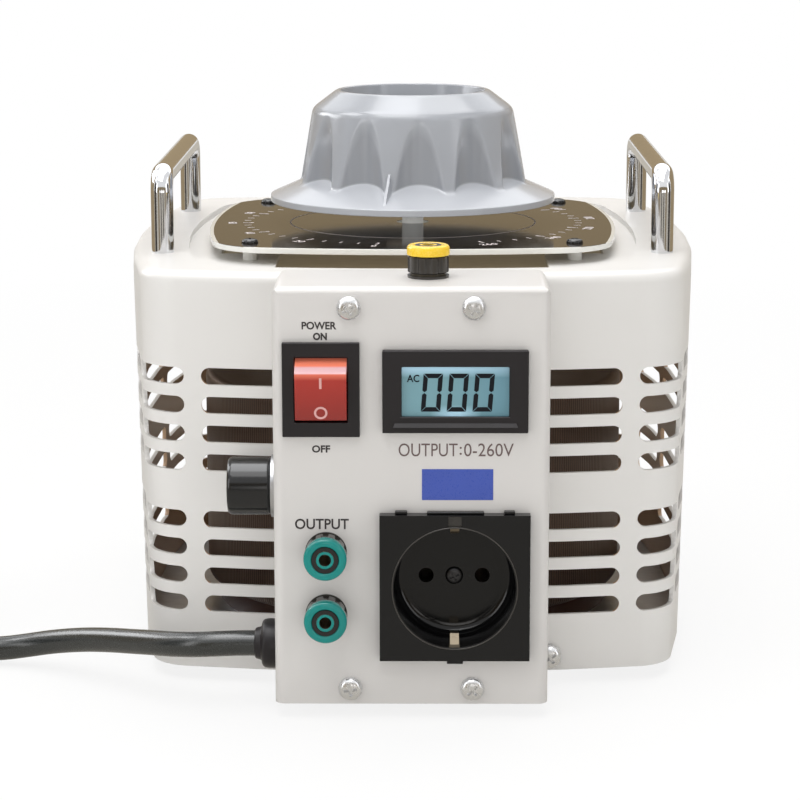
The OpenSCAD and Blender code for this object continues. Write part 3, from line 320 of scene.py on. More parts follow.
def painted(name, colour, rough, inner_shade=None):
    """Sprayed paint on sheet metal: orange peel, faint clouds, darker towards the bottom, and maybe a darker
    brown on the inner faces as painted shade.
    """
    finish = Finish(name, Coat_Roughness=0.25)
    peel = finish.noise(420, 2, 0.45)
    speck = finish.noise(2600, 2)
    cloud = finish.noise(14, 3)
    height = finish.axes()[2]
    # Darker towards the bottom of the piece.
    low_darkening = finish.spread(height, 0.0, 0.05, 0.35, 0.0)
    tone = finish.blend(finish.spread(cloud, 0.3, 0.75) * 0.5 + low_darkening, colour, shade(colour, 0.93))
    if inner_shade:
        normal = finish.add("ShaderNodeTexCoord", None, None, "Normal")
        flat = finish.stretched(1, 1, 0)
        facing = finish.add("ShaderNodeVectorMath", {"operation": "DOT_PRODUCT"},
                            {0: flat, 1: normal}, "Value")
        # Faces that look inwards, towards the middle, get the darker brown: painted shade.
        tone = finish.blend(facing < -0.02, tone, inner_shade)
    finish.set(Base_Color=tone)
    finish.set(Roughness=rough + (speck - 0.5) * 0.12 + (cloud - 0.5) * 0.1)
    finish.set(Coat_Weight=finish.spread(cloud, 0.3, 0.7, 0.05, 0.18))
    return finish.bump(peel * 0.8 + speck * 0.2, 0.1, 0.00015)


def metallic(name, colour, rough, smear=0.1, stretch=(60, 60, 900), bump=0.04, metal=1.0):
    """Bare or plated metal with fine drawn lines and uneven polish."""
    finish = Finish(name, Metallic=metal)
    lines = finish.noise(1.0, 4, 0.6, finish.stretched(*stretch))
    patch = finish.noise(160, 3)
    finish.set(Base_Color=finish.blend(patch, colour, shade(colour, 0.8)))
    finish.set(Roughness=rough + (lines - 0.5) * smear + (patch - 0.5) * smear)
    return finish.bump(lines, bump, 0.00005)


EVEN = (500, 500, 500)
FINE = (700, 700, 700)
case_paint = painted("case_paint", rgb(226, 224, 221), 0.42)
# The shell's inner faces are brown as painted shade, where the inside of the housing is dark.
case_shell = painted("case_shell", rgb(226, 224, 221), 0.42, rgb(205, 172, 140))
# The control box has the case's paint, made darker: painted shade.
panel_paint = painted("panel_paint", rgb(211, 208, 205), 0.45)
chrome = metallic("chrome_bar", rgb(228, 229, 232), 0.1, smear=0.05, stretch=(200, 200, 30), bump=0.01)
zinc = metallic("zinc_screw", rgb(232, 233, 235), 0.28, smear=0.2, stretch=FINE, bump=0.1)
steel = metallic("plated_steel", rgb(196, 197, 200), 0.34, smear=0.2, stretch=(300, 300, 40))
brass = metallic("brass_metal", rgb(196, 170, 104), 0.3, smear=0.2, stretch=(400, 400, 400))
dark_steel = metallic("dark_screw", rgb(70, 70, 72), 0.35, smear=0.2, stretch=FINE, bump=0.1)
# Dark metal for contacts and washers deep in holes, darker than the metal really is: painted shade.
stud_metal = metallic("stud_metal", rgb(74, 70, 62), 0.4, smear=0.2, stretch=EVEN)
clip_metal = metallic("clip_metal", rgb(150, 138, 120), 0.42, smear=0.15, stretch=EVEN)
# The shaft's steel is pale and glows faintly as painted light, where it stands in the knob's shadow.
satin_steel = metallic("satin_steel", rgb(226, 226, 226), 0.6, stretch=EVEN, metal=0.3)
satin_steel.set(Emission_Color=rgb(226, 226, 222), Emission_Strength=0.25)
black_gloss = moulded("black_gloss", rgb(22, 23, 24), 0.16, bump=0.03)
black_plastic = moulded("black_plastic", rgb(34, 31, 33), 0.36, bump=0.1, Specular_IOR_Level=0.3)
socket_black = moulded("socket_black", rgb(18, 18, 19), 0.14, bump=0.02, Specular_IOR_Level=0.32)
smoke_plastic = moulded("smoke_plastic", rgb(58, 55, 52), 0.2, bump=0.04)
rubber = moulded("black_rubber", rgb(30, 30, 30), 0.75, bump=0.3, grain=900)
white_plastic = moulded("white_plastic", rgb(232, 231, 226), 0.35, bump=0.08, grain=1200, tone=0.95)
teal_plastic = moulded("teal_plastic", rgb(2, 132, 126), 0.16, bump=0.05, grain=1500, tone=0.85)
yellow_plastic = moulded("yellow_plastic", rgb(252, 210, 56), 0.28, bump=0.08, grain=1500, tone=0.95)
ink = moulded("panel_ink", rgb(52, 46, 46), 0.6, bump=0.1, grain=3000)
thin_ink = moulded("thin_ink", rgb(104, 86, 84), 0.6, bump=0.1, grain=3000)
rocker_ink = moulded("rocker_ink", rgb(220, 168, 164), 0.5, bump=0.05, grain=3000, tone=0.92)
pale_ink = moulded("pale_ink", rgb(236, 226, 224), 0.5, bump=0.1, grain=3000, tone=0.95)
digit_ink = moulded("digit_ink", rgb(14, 18, 26), 0.6, bump=0.05, grain=3000, tone=0.9,
                    Specular_IOR_Level=0.2)
bakelite = moulded("bakelite", rgb(78, 48, 34), 0.38, bump=0.1)
carbon = moulded("carbon", rgb(36, 36, 37), 0.6, bump=0.3)
sheath = moulded("wire_sheath", rgb(120, 66, 40), 0.4, bump=0.06)


def label_film():
    """Plain blue printed label with a faint weave of print dots."""
    finish = Finish("blue_label")
    dots = finish.noise(2400, 2)
    cloud = finish.noise(120, 2)
    blue = rgb(62, 86, 178)
    finish.set(Base_Color=finish.blend(cloud * 0.5 + dots * 0.3, blue, shade(blue, 0.8)))
    finish.set(Roughness=0.3 + (dots - 0.5) * 0.2)
    return finish.bump(dots, 0.06, 0.0001)


def fibre_board():
    """Brown pressed insulating board with short fibres, painted pale and glowing faintly as painted light,
    where it lies in shade under the dial plate.
    """
    finish = Finish("brown_board", Emission_Strength=0.22)
    fibres = finish.noise(1.0, 4, 0.65, finish.stretched(260, 900, 300))
    cloud = finish.noise(30, 3)
    # The pale tone, used as emission too, stands in for light under the dial plate: painted light.
    tone = finish.blend(fibres * 0.7 + cloud * 0.3, rgb(172, 158, 132), rgb(140, 128, 106))
    finish.set(Base_Color=tone, Emission_Color=tone)
    finish.set(Roughness=0.4 + fibres * 0.25)
    return finish.bump(fibres, 0.25, 0.0002)


def dial_black():
    """Glossy black print on the top of the dial plate, with a pale border and pale edges."""
    finish = Finish("dial_black", IOR=1.62)
    wipe = finish.noise(1.0, 3, 0.6, finish.stretched(40, 220, 40))
    grit = finish.noise(1800, 2)
    across, back, up = finish.axes()
    right = finish.math("ABSOLUTE", across)
    rear = finish.math("ABSOLUTE", back - AXIS_Y * MM)

    def inside(x, y, reach, radius):
        squares = (x + reach) * (x + reach) + y * y
        return squares < radius * radius

    half, bow, corner, corner_at, border = 0.0758, 0.33, 0.024, 0.0497, 0.0014
    bowed = inside(right, rear, bow - half, bow - border) * inside(rear, right, bow - half, bow - border)
    round_off = inside(right - corner_at, rear - corner_at, 0.0, corner - border)
    past = (right > corner_at) * (rear > corner_at)
    print_area = bowed * (1.0 - past * (1.0 - round_off)) * (up > (DIAL_TOP - 0.1) * MM)
    black = finish.blend(wipe, rgb(44, 38, 31), rgb(30, 27, 23))
    finish.set(Base_Color=finish.blend(print_area, rgb(236, 236, 231), black))
    finish.set(Roughness=0.1 + (wipe - 0.5) * 0.06 + (grit - 0.5) * 0.05)
    return finish.bump(grit, 0.02, 0.00005)


def lit_red():
    """Clear red moulding of the rocker, warmer and brighter towards its ridge and glowing there as painted
    light, darker low on its face as painted shade, with a pale band along the ridge as a painted highlight.
    """
    finish = Finish("red_plastic", Roughness=0.14, Subsurface_Weight=0.1, Emission_Strength=0.25)
    fine = finish.noise(1500, 2)
    up = finish.axes()[2]
    # Heights on the rocker, in metres of the object's frame
    # The top of the rocker is painted brighter and glowing: painted light.
    glow = finish.spread(up, 0.1168, 0.1205)
    # The pale band along the ridge is a painted highlight.
    band = finish.spread(up, 0.1188, 0.1193) * finish.spread(up, 0.1212, 0.1207)
    # The face gets darker towards its lower end: painted shade.
    face = finish.blend(finish.spread(up, 0.1025, 0.118), rgb(138, 42, 37), rgb(172, 50, 41))
    tone = finish.blend(glow, face, rgb(242, 134, 106))
    # Emission of the glowing top and of the band, as painted light.
    light = finish.blend(glow, (0.03, 0.002, 0.002, 1), rgb(234, 124, 98))
    finish.set(Base_Color=finish.blend(band, tone, rgb(224, 178, 182)))
    finish.set(Emission_Color=finish.blend(band, light, rgb(206, 156, 162)))
    return finish.bump(fine, 0.03, 0.0001)


def display_glass():
    """Lit blue liquid crystal panel, brighter along its top and over a lamp below its middle."""
    finish = Finish("display_panel", Roughness=0.22, Emission_Strength=0.2)
    across, _, up = finish.axes()
    cloud = finish.noise(60, 2)
    # Places on the panel, in metres of the object's frame
    middle = 0.0146
    aside = finish.math("ABSOLUTE", across - middle)
    foot = finish.spread(up, 0.1078, 0.1044) * finish.spread(aside, 0.0085, 0.0015)
    brow = finish.spread(up, 0.117, 0.1198) * finish.spread(across, 0.034, 0.014, 0.45, 0.85)
    plain = finish.blend(finish.spread(across, 0.01, 0.03), rgb(106, 144, 153), rgb(90, 130, 143))
    share = foot + brow + (cloud - 0.5) * 0.1
    tone = finish.blend(finish.spread(share, 0.0, 1.0), plain, rgb(174, 212, 232))
    finish.set(Base_Color=tone, Emission_Color=tone)
    return finish.bump(finish.noise(3500, 1), 0.03, 0.0001)


def knob_plastic():
    """Glossy grey moulding, darker in the flutes as painted shade, and paler on the skirt as painted light.
    """
    finish = Finish("grey_plastic")
    fine = finish.noise(1700, 3)
    slow = finish.noise(45, 2)
    across, back, up = finish.axes()
    back = back - AXIS_Y * MM
    radius = finish.math("SQRT", across * across + back * back)
    flute_shade_low, flute_shade_high = 0.1615, 0.1935
    cone = RIDGE_R * MM - (up - RIDGE_Z * MM) * SIDE_SLOPE
    flute = finish.spread(cone - radius, 0.0001, 0.0012) * (up > flute_shade_low) * (up < flute_shade_high)
    above_skirt = up - (FLANGE_Z * MM + (FLANGE_R * MM - radius) * SKIRT_SLOPE)
    grey = rgb(168, 171, 177)
    tone = finish.blend(finish.spread(slow, 0.35, 0.7), grey, shade(grey, 0.95))
    # The flutes are painted darker: painted shade.
    flute_painted_shade = finish.blend(flute, tone, shade(grey, 0.8))
    # The skirt below the ridges is painted the paler grey: painted light.
    finish.set(Base_Color=finish.blend(finish.spread(above_skirt, 0.0002, 0.001), rgb(190, 193, 199), flute_painted_shade))
    finish.set(Roughness=0.18 + (fine - 0.5) * 0.12 + (slow - 0.5) * 0.08)
    return finish.bump(fine, 0.02, 0.00012)


def copper_turns():
    """Enamelled copper turns that run up the outside of the ring core."""
    finish = Finish("copper_wire", Metallic=0.7)
    turns = 420.0
    across, back, _ = finish.axes()
    angle = finish.math("ARCTAN2", back - AXIS_Y * MM, across)
    round_wire = finish.math("SINE", angle * turns) * 0.5 + 0.5
    patch = finish.noise(90, 3)
    finish.set(Base_Color=finish.blend(round_wire * 0.7 + patch * 0.3, rgb(86, 74, 66), rgb(126, 106, 94)))
    finish.set(Roughness=0.35 + patch * 0.2)
    return finish.bump(round_wire, 0.4, 0.0004)


def core_strip():
    """Wound strip of the core, seen as fine rings."""
    finish = Finish("core_steel", Metallic=0.8)
    lines = finish.noise(1.0, 3, 0.6, finish.stretched(30, 30, 2200))
    finish.set(Base_Color=finish.blend(lines, rgb(70, 70, 72), rgb(104, 104, 104)))
    finish.set(Roughness=0.45 + lines * 0.2)
    return finish.bump(lines, 0.2, 0.0002)


def cord_sheath():
    """Satin black sheath of the mains lead."""
    finish = Finish("cord_pvc", Specular_IOR_Level=0.8)
    fine = finish.noise(2200, 3)
    slow = finish.noise(70, 2)
    finish.set(Base_Color=finish.blend(slow, rgb(36, 40, 40), rgb(28, 31, 31)))
    finish.set(Roughness=0.26 + (fine - 0.5) * 0.14 + (slow - 0.5) * 0.08)
    return finish.bump(fine, 0.15, 0.0001)


def fuse_tube():
    """Clear glass fuse between two bright end caps."""
    finish = Finish("fuse_glass", Roughness=0.08, IOR=1.5)
    glass_from, glass_to = -0.052, -0.042
    across = finish.axes()[0]
    glass = (across > glass_from) * (across < glass_to)
    finish.set(Base_Color=finish.blend(glass, rgb(210, 212, 214), rgb(190, 200, 196)))
    finish.set(Metallic=(1.0 - glass) * 0.95)
    return finish.bump(finish.noise(400, 2), 0.03, 0.0001)


blue_label = label_film()
brown_board = fibre_board()
dial_print = dial_black()
red_plastic = lit_red()
display = display_glass()
knob_painted_light = knob_plastic()
copper = copper_turns()
core_steel = core_strip()
cord_pvc = cord_sheath()
fuse_glass = fuse_tube()


# World, lamps, floor and the walls of the room that bright metal shows


def light_paths(graph):
    """1 for rays that come from the camera, a reflection or a clear body."""
    node = graph.tree.nodes.new("ShaderNodeLightPath")
    rays = ("Is Camera Ray", "Is Glossy Ray", "Is Transmission Ray")
    seen = [Wire(graph, node.outputs[name]) for name in rays]
    return graph.spread(seen[0] + seen[1] + seen[2], 0.0, 1.0)


def make_world():
    """Soft ambient light, in front of a white that only the camera, reflections and clear bodies see."""
    world = bpy.data.worlds.new("pale_room")
    world.use_nodes = True
    scene.world = world
    graph = Graph(world.node_tree)
    ambient = graph.add("ShaderNodeBackground", None, {"Color": (1.0, 0.985, 0.965, 1), "Strength": 0.34})
    pale = graph.add("ShaderNodeBackground", None, {"Color": (1, 1, 1, 1), "Strength": 1.0})
    graph.surface(graph.add("ShaderNodeMixShader", None, {0: light_paths(graph), 1: ambient, 2: pale}))


def floor_material():
    """White table: it shows as white to the camera and keeps a soft shadow."""
    material = node_material("white_table")
    graph = Graph(material.node_tree)
    spot = graph.add("ShaderNodeTexCoord", None, None, "Object")
    far = graph.add("ShaderNodeVectorMath", {"operation": "LENGTH"}, {0: spot}, "Value")
    lit = graph.add("ShaderNodeBsdfDiffuse", None, {"Color": (0.9, 0.9, 0.89, 1)})
    mirrored = graph.add("ShaderNodeLightPath", None, None, "Is Glossy Ray")
    tone = graph.blend(mirrored, (1, 1, 1, 1), (0.58, 0.54, 0.47, 1))
    glow = graph.add("ShaderNodeEmission", None, {"Color": tone, "Strength": 1.0})
    share = light_paths(graph) * graph.spread(far, 0.2, 0.9, 0.84, 1.0)
    graph.surface(graph.add("ShaderNodeMixShader", None, {0: share, 1: lit, 2: glow}))
    return material


def wall_material(name, colour):
    material = node_material(name)
    graph = Graph(material.node_tree)
    graph.surface(graph.add("ShaderNodeEmission", None, {"Color": colour, "Strength": 1.0}))
    return material


def stage_sheet(name, corners, material):
    mesh = bpy.data.meshes.new(name)
    mesh.from_pydata(corners, [], [(0, 1, 2, 3)])
    mesh.materials.append(material)
    sheet = link(name, mesh)
    sheet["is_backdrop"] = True
    return sheet


def mirrored_sheet(name, corners, material):
    """Sheet that only reflections see."""
    sheet = stage_sheet(name, corners, material)
    sheet.visible_camera = False
    sheet.visible_diffuse = False
    sheet.visible_shadow = False


def level_corners(x0, x1, y0, y1, z):
    return [(x0, y0, z), (x1, y0, z), (x1, y1, z), (x0, y1, z)]


def card(name, start, end, low, high, material):
    """Upright sheet of the room."""
    (x0, y0), (x1, y1) = start, end
    mirrored_sheet(name, [(x0, y0, low), (x1, y1, low), (x1, y1, high), (x0, y0, high)], material)


def soft_lamp(name, spot, aim_z, width, height, watts):
    """Area lamp aimed at a height on the middle of the object."""
    data = bpy.data.lights.new(name, "AREA")
    data.shape = "RECTANGLE"
    data.size, data.size_y, data.energy = width, height, watts
    lamp = link(name, data)
    lamp.location = spot
    lamp.rotation_euler = (Vector((0, 0, aim_z)) - Vector(spot)).to_track_quat("-Z", "Y").to_euler()


make_world()
FLOOR_Z, REACH = -0.0003, 9.0
stage_sheet("table", level_corners(-REACH, REACH, -REACH, REACH, FLOOR_Z), floor_material())
warm = wall_material("room_wall", (0.40, 0.31, 0.19, 1))
umber = wall_material("room_side", (0.26, 0.20, 0.12, 1))
dim = wall_material("room_front", (0.05, 0.042, 0.035, 1))
pale_light = wall_material("room_light", (1.9, 1.92, 1.96, 1))
window = wall_material("room_window", (7.0, 7.05, 7.15, 1))
card("room_back", (-2.6, 1.7), (2.6, 1.7), 0.19, 0.95, warm)
card("room_ceiling", (-2.6, 1.7), (2.6, 1.7), 0.95, 2.6, pale_light)
card("window_high", (-1.05, -0.1), (-1.05, 0.5), 1.0, 1.75, window)
card("window_low", (-0.61, 0.05), (-0.61, 0.55), 0.3, 0.52, window)
mirrored_sheet("window_top", level_corners(-0.4, 0.05, -0.4, 0.2, 0.95), window)
card("room_front", (-2.4, -2.3), (2.4, -2.3), 0.02, 1.0, umber)
for sign, side in ((-1, "left"), (1, "right")):
    card("brown_" + side, (sign * 0.62, -0.1), (sign * 0.62, 0.9), 0.0, 0.6, warm)
    card("dark_" + side, (sign * 0.62, -0.42), (sign * 0.62, -0.16), 0.0, 0.5, dim)
    card("umber_" + side, (sign * 0.56, -0.7), (sign * 0.4, -0.8), 0.0, 0.4, umber)
    card("window_" + side, (sign * 1.05, -0.55), (sign * 1.05, 0.05), 0.5, 1.1, pale_light)
    card("slim_" + side, (sign * 0.22, -0.86), (sign * 0.1, -0.88), 0.0, 0.3, dim)
soft_lamp("key_lamp", (-0.25, -0.55, 1.35), 0.1, 1.1, 0.9, 8.7)
soft_lamp("top_lamp", (0.1, 0.35, 1.5), 0.1, 1.2, 1.0, 12.6)
soft_lamp("low_lamp", (0.1, -1.45, 0.2), 0.05, 1.2, 0.25, 2.2)
soft_lamp("right_lamp", (1.3, -0.8, 0.5), 0.08, 0.7, 0.9, 3.0)
soft_lamp("left_lamp", (-1.3, -0.8, 0.5), 0.08, 0.7, 0.9, 4.6)


# Mesh tools

FORWARD = Matrix(((1, 0, 0), (0, 0, -1), (0, 1, 0)))
LEFTWARD = Matrix(((0, 0, -1), (0, 1, 0), (1, 0, 0)))
UPWARD = Matrix.Identity(3)
FRONT, BACK, UP = (0, -1, 0), (0, 1, 0), (0, 0, 1)


def circle(steps):
    """Cosine and sine of every step round a circle."""
    angles = [2 * math.pi * k / steps for k in range(steps)]
    return [(math.cos(angle), math.sin(angle)) for angle in angles]


def rounded(profile, parts=4):
    """A profile of (radius, height, rounding) with its corners rounded off."""
    result = []
    for i, (r, h, cut) in enumerate(profile):
        here = Vector((r, h))
        if cut == 0 or i in (0, len(profile) - 1):
            result.append(here)
            continue
        before = Vector(profile[i - 1][:2]) - here
        after = Vector(profile[i + 1][:2]) - here
        a = here + before.normalized() * min(cut, before.length * 0.5)
        b = here + after.normalized() * min(cut, after.length * 0.5)
        for k in range(parts + 1):
            t = k / parts
            result.append(a * (1 - t) ** 2 + here * (2 * t * (1 - t)) + b * t * t)
    return result


def skin(rows, closed=False):
    """Points and faces over rings of (radius, height) about the third axis; the rings run up the outside."""
    steps = len(rows[0])
    points, faces, rings = [], [], []
    for row in rows:
        if row[0][0] < 1e-6:
            rings.append([len(points)] * steps)
            points.append((0, 0, row[0][1]))
        else:
            rings.append(list(range(len(points), len(points) + steps)))
            points += [(r * c, r * s, h) for (r, h), (c, s) in zip(row, circle(steps))]
    pairs = list(zip(rings, rings[1:]))
    if closed:
        pairs.append((rings[-1], rings[0]))
    for low, high in pairs:
        for k in range(steps):
            n = (k + 1) % steps
            corners = [low[k], low[n], high[n], high[k]]
            face = [c for i, c in enumerate(corners) if c not in corners[:i]]
            if len(face) > 2:
                faces.append(face)
    return points, faces


def turned(profile, steps=64, closed=False):
    """A profile of (radius, height) spun about the third axis."""
    return skin([[(r, h)] * steps for r, h in profile], closed)


def flute_radius(angle, count, centre, radius):
    """Distance of a flute's wall from the axis at an angle, or no limit between the flutes."""
    step = 2 * math.pi / count
    local = (angle % step) - step / 2
    across = centre * math.sin(local)
    if abs(across) >= radius:
        return math.inf
    return centre * math.cos(local) - math.sqrt(radius ** 2 - across ** 2)


def joined(*shapes):
    """Several (points, faces) as one."""
    points, faces = [], []
    for more_points, more_faces in shapes:
        faces += [[i + len(points) for i in face] for face in more_faces]
        points += list(more_points)
    return points, faces


def block(x0, x1, y0, y1, z0, z1):
    points = [(x, y, z) for x in (x0, x1) for y in (y0, y1) for z in (z0, z1)]
    faces = [(0, 1, 3, 2), (4, 6, 7, 5), (0, 4, 5, 1), (2, 3, 7, 6), (0, 2, 6, 4), (1, 5, 7, 3)]
    return points, faces


def piece_from(name, shape, matrix=UPWARD, origin=Vector()):
    """A piece from a shape in millimetres, turned and put at a point of the object's frame."""
    points, faces = shape
    mesh = bpy.data.meshes.new(name)
    corners = [tuple(origin + (matrix @ Vector(p)) * MM) for p in points]
    mesh.from_pydata(corners, [], [tuple(face) for face in faces])
    mesh.validate()
    return link(name, mesh)


def face_out(piece):
    """Turns every face of a piece outwards."""
    form = bmesh.new()
    form.from_mesh(piece.data)
    bmesh.ops.recalc_face_normals(form, faces=form.faces)
    form.to_mesh(piece.data)
    form.free()
    return piece


def smooth_faces(mesh):
    mesh.polygons.foreach_set("use_smooth", [True] * len(mesh.polygons))


def bake_modifiers(piece):
    """Turns a piece with modifiers into a plain mesh."""
    graph = bpy.context.evaluated_depsgraph_get()
    mesh = bpy.data.meshes.new_from_object(piece.evaluated_get(graph))
    piece.modifiers.clear()
    old, piece.data = piece.data, mesh
    bpy.data.meshes.remove(old)
    return piece


def soften(piece, edge=0.0, sharp=35, parts=3):
    """Rounds the edges of a piece and smooths what is not sharp."""
    smooth_faces(piece.data)
    if edge:
        bevel = piece.modifiers.new("edge", "BEVEL")
        bevel.width = edge * MM
        bevel.segments = parts
        bevel.limit_method = "ANGLE"
        bevel.angle_limit = math.radians(sharp)
        bevel.harden_normals = True
        bevel.use_clamp_overlap = True
    else:
        piece.data.set_sharp_from_angle(angle=math.radians(sharp))
    even = piece.modifiers.new("even", "WEIGHTED_NORMAL")
    even.keep_sharp = True
    even.weight = 100
    return bake_modifiers(piece)


def copy_of(node, name):
    """A merged copy of a solid's mesh as a new piece."""
    mesh = nodes[node].data.copy()
    mesh.name = name
    if "custom_normal" in mesh.attributes:
        mesh.attributes.remove(mesh.attributes["custom_normal"])
    form = bmesh.new()
    form.from_mesh(mesh)
    bmesh.ops.remove_doubles(form, verts=form.verts, dist=2e-6)
    bmesh.ops.dissolve_limit(form, angle_limit=math.radians(0.3), verts=form.verts, edges=form.edges)
    form.to_mesh(mesh)
    form.free()
    return link(name, mesh)


def settle(piece, finish, body="frame", stands_for=()):
    """Gives a piece its finish and says what it rides on and stands for."""
    piece.data.materials.clear()
    piece.data.materials.append(finish.material)
    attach(piece, body)
    if stands_for:
        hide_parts(*stands_for)
    return piece


def dressed(node, finish, body="frame", edge=0.0, sharp=35, parts=3):
    """A solid with rounded edges and a finish."""
    piece = soften(copy_of(node, node + "_dressed"), edge, sharp, parts)
    return settle(piece, finish, body, (node,))


def lathe_piece(name, profile, matrix, origin, steps=72, closed=False):
    return soften(piece_from(name, turned(rounded(profile), steps, closed), matrix, origin), sharp=40)


# Housing, top cover and control box, smoothed along their true bowed outline

HALF_W, HALF_D, SIDE_R, FRONT_R, CORNER_R = 103.9, 112.0, 450.0, 440.0, 18.0
SEAM_Z, FOOT_H, DRAFT, TOP_ROUND = 137.0, 5.0, 2.5, 4.0


def outline_centres():
    """Centres of the side, front and corner arcs of the housing's outline, and where they meet."""
    side, front = Vector((HALF_W - SIDE_R, 0)), Vector((0, HALF_D - FRONT_R))
    gap = (front - side).length
    along = ((SIDE_R - CORNER_R) ** 2 - (FRONT_R - CORNER_R) ** 2 + gap * gap) / (2 * gap)
    ahead = (front - side) / gap
    across = Vector((-ahead.y, ahead.x))
    corner = side + ahead * along + across * math.sqrt((SIDE_R - CORNER_R) ** 2 - along * along)
    first = math.atan2(corner.y - side.y, corner.x - side.x)
    second = math.atan2(corner.y - front.y, corner.x - front.x)
    return side, front, corner, first, second


OUTLINE = outline_centres()


def outline_normal(x, y):
    """Outward direction of the housing's outline near a point, both from the housing's middle."""
    side, front, corner, first, second = OUTLINE
    spot = Vector((abs(x), abs(y)))
    if math.atan2(spot.y - side.y, spot.x - side.x) <= first:
        out = spot - side
    elif math.atan2(spot.y - front.y, spot.x - front.x) >= second:
        out = spot - front
    else:
        out = spot - corner
    out.normalize()
    return Vector((math.copysign(out.x, x), math.copysign(out.y, y)))


def bowed_normals(piece, lean, round_top):
    """Smooths a bowed wall by the outline that it follows; other faces stay flat."""
    mesh = piece.data
    along_outside, along_inside = 0.9, -0.97
    normals = [None] * len(mesh.loops)
    for face in mesh.polygons:
        flat = face.normal.copy()
        for loop in face.loop_indices:
            spot = mesh.vertices[mesh.loops[loop].vertex_index].co / MM
            out = outline_normal(spot.x, spot.y - AXIS_Y - BODY_Y)
            rise = -lean
            if round_top and spot.z > BODY_TOP - TOP_ROUND:
                rise = math.asin(min(1, 1 - (BODY_TOP - spot.z) / TOP_ROUND))
            curve = Vector((out.x * math.cos(rise), out.y * math.cos(rise), math.sin(rise)))
            facing = flat.dot(curve)
            normals[loop] = flat
            if facing > along_outside:
                normals[loop] = curve
            elif facing < along_inside:
                normals[loop] = -curve
    smooth_faces(mesh)
    mesh.normals_split_custom_set([tuple(n) for n in normals])
    return piece


shell = bowed_normals(copy_of("housing_shell", "housing_shell_dressed"), DRAFT / (SEAM_Z - FOOT_H), False)
settle(shell, case_shell, "frame", ("housing_shell",))
cover = bowed_normals(copy_of("top_cover", "top_cover_dressed"), 0, True)
settle(cover, case_paint, "frame", ("top_cover",))
dressed("control_box", panel_paint, sharp=30)


# Carrying handles


def tube(path, radius, steps=48):
    """Points and faces of a closed round bar along a flat path in the Y-Z plane."""
    points, faces = [], []
    last = len(path) - 1
    side = Vector((1, 0, 0))
    for i, spot in enumerate(path):
        ahead = (path[min(i + 1, last)] - path[max(i - 1, 0)]).normalized()
        lift = ahead.cross(side)
        points += [spot + radius * (c * side + s * lift) for c, s in circle(steps)]
    for i in range(last):
        for k in range(steps):
            n = (k + 1) % steps
            faces.append((i * steps + k, (i + 1) * steps + k, (i + 1) * steps + n, i * steps + n))
    faces.append(tuple(range(steps)))
    faces.append(tuple(reversed(range(last * steps, (last + 1) * steps))))
    return points, faces


def make_handle(name, x, node):
    half, bend, bar_z, radius, foot, parts = 58.5, 6.0, 173.5, 4.0, 0.6, 24
    path = [Vector((x, -half, BODY_TOP)), Vector((x, -half, BODY_TOP + foot))]
    for sign in (-1, 1):
        arc = []
        for k in range(parts + 1):
            a = math.radians(90 * k / parts)
            out = half - bend + bend * math.cos(a)
            arc.append(Vector((x, sign * out, bar_z - bend + bend * math.sin(a))))
        path += arc if sign < 0 else arc[::-1]
    path += [Vector((x, half, BODY_TOP + foot)), Vector((x, half, BODY_TOP))]
    handle = face_out(piece_from(name, tube(path, radius), UPWARD, place(0, BODY_Y, 0)))
    settle(soften(handle, sharp=50), chrome, "frame", (node,))


HANDLE_X = 89.4
make_handle("left_bar", -HANDLE_X, "handle_left")
make_handle("right_bar", HANDLE_X, "handle_right")


# Repeated hardware and ticks: geometry groups that set one small shape on many points


class Group(Graph):
    """A geometry group with named inputs. It ends in real copies with a finish."""

    def __init__(self, name, **inputs):
        super().__init__(bpy.data.node_groups.new(name, "GeometryNodeTree"))
        for label, kind in inputs.items():
            self.tree.interface.new_socket(name=label, in_out="INPUT", socket_type="NodeSocket" + kind)
        self.tree.interface.new_socket(name="Geometry", in_out="OUTPUT", socket_type="NodeSocketGeometry")
        sockets = self.tree.nodes.new("NodeGroupInput").outputs
        self.given = {socket.name: Wire(self, socket) for socket in sockets if socket.name}

    def attribute(self, name, kind):
        return self.add("GeometryNodeInputNamedAttribute", {"data_type": kind}, {"Name": name})

    def copies(self, mesh, shape, turn):
        """Sets a shape on every point of a mesh and ends the group."""
        dots = self.add("GeometryNodeMeshToPoints", None, {"Mesh": mesh})
        many = self.add("GeometryNodeInstanceOnPoints", None,
                        {"Points": dots, "Instance": shape, "Rotation": turn})
        real = self.add("GeometryNodeRealizeInstances", None, {"Geometry": many})
        done = self.add("GeometryNodeSetMaterial", None, {"Geometry": real, "Material": self.given["Finish"]})
        self.tree.links.new(done.socket, self.tree.nodes.new("NodeGroupOutput").inputs[0])
        return self.tree


def grown(name, mesh, tree, **values):
    """A plain mesh that a geometry group grows from a mesh and the group's named inputs."""
    piece = link(name, mesh)
    modifier = piece.modifiers.new("copies", "NODES")
    modifier.node_group = tree
    for item in tree.interface.items_tree:
        if item.in_out == "INPUT" and item.name in values:
            modifier[item.identifier] = values[item.name]
    return bake_modifiers(piece)


def points_tree():
    """Sets one piece on every point, faced and twisted by the point's own values."""
    group = Group("piece_on_points", Geometry="Geometry", Piece="Object", Finish="Material")
    aimed = group.add("FunctionNodeAlignRotationToVector", {"axis": "Z"},
                      {"Vector": group.attribute("facing", "FLOAT_VECTOR")})
    spin = group.add("FunctionNodeAxisAngleToRotation", None,
                     {"Axis": (0, 0, 1), "Angle": group.attribute("twist", "FLOAT")})
    turn = group.add("FunctionNodeRotateRotation", {"rotation_space": "LOCAL"},
                     {"Rotation": aimed, "Rotate By": spin})
    shape = group.add("GeometryNodeObjectInfo", None, {"Object": group.given["Piece"]}, "Geometry")
    return group.copies(group.given["Geometry"], shape, turn)


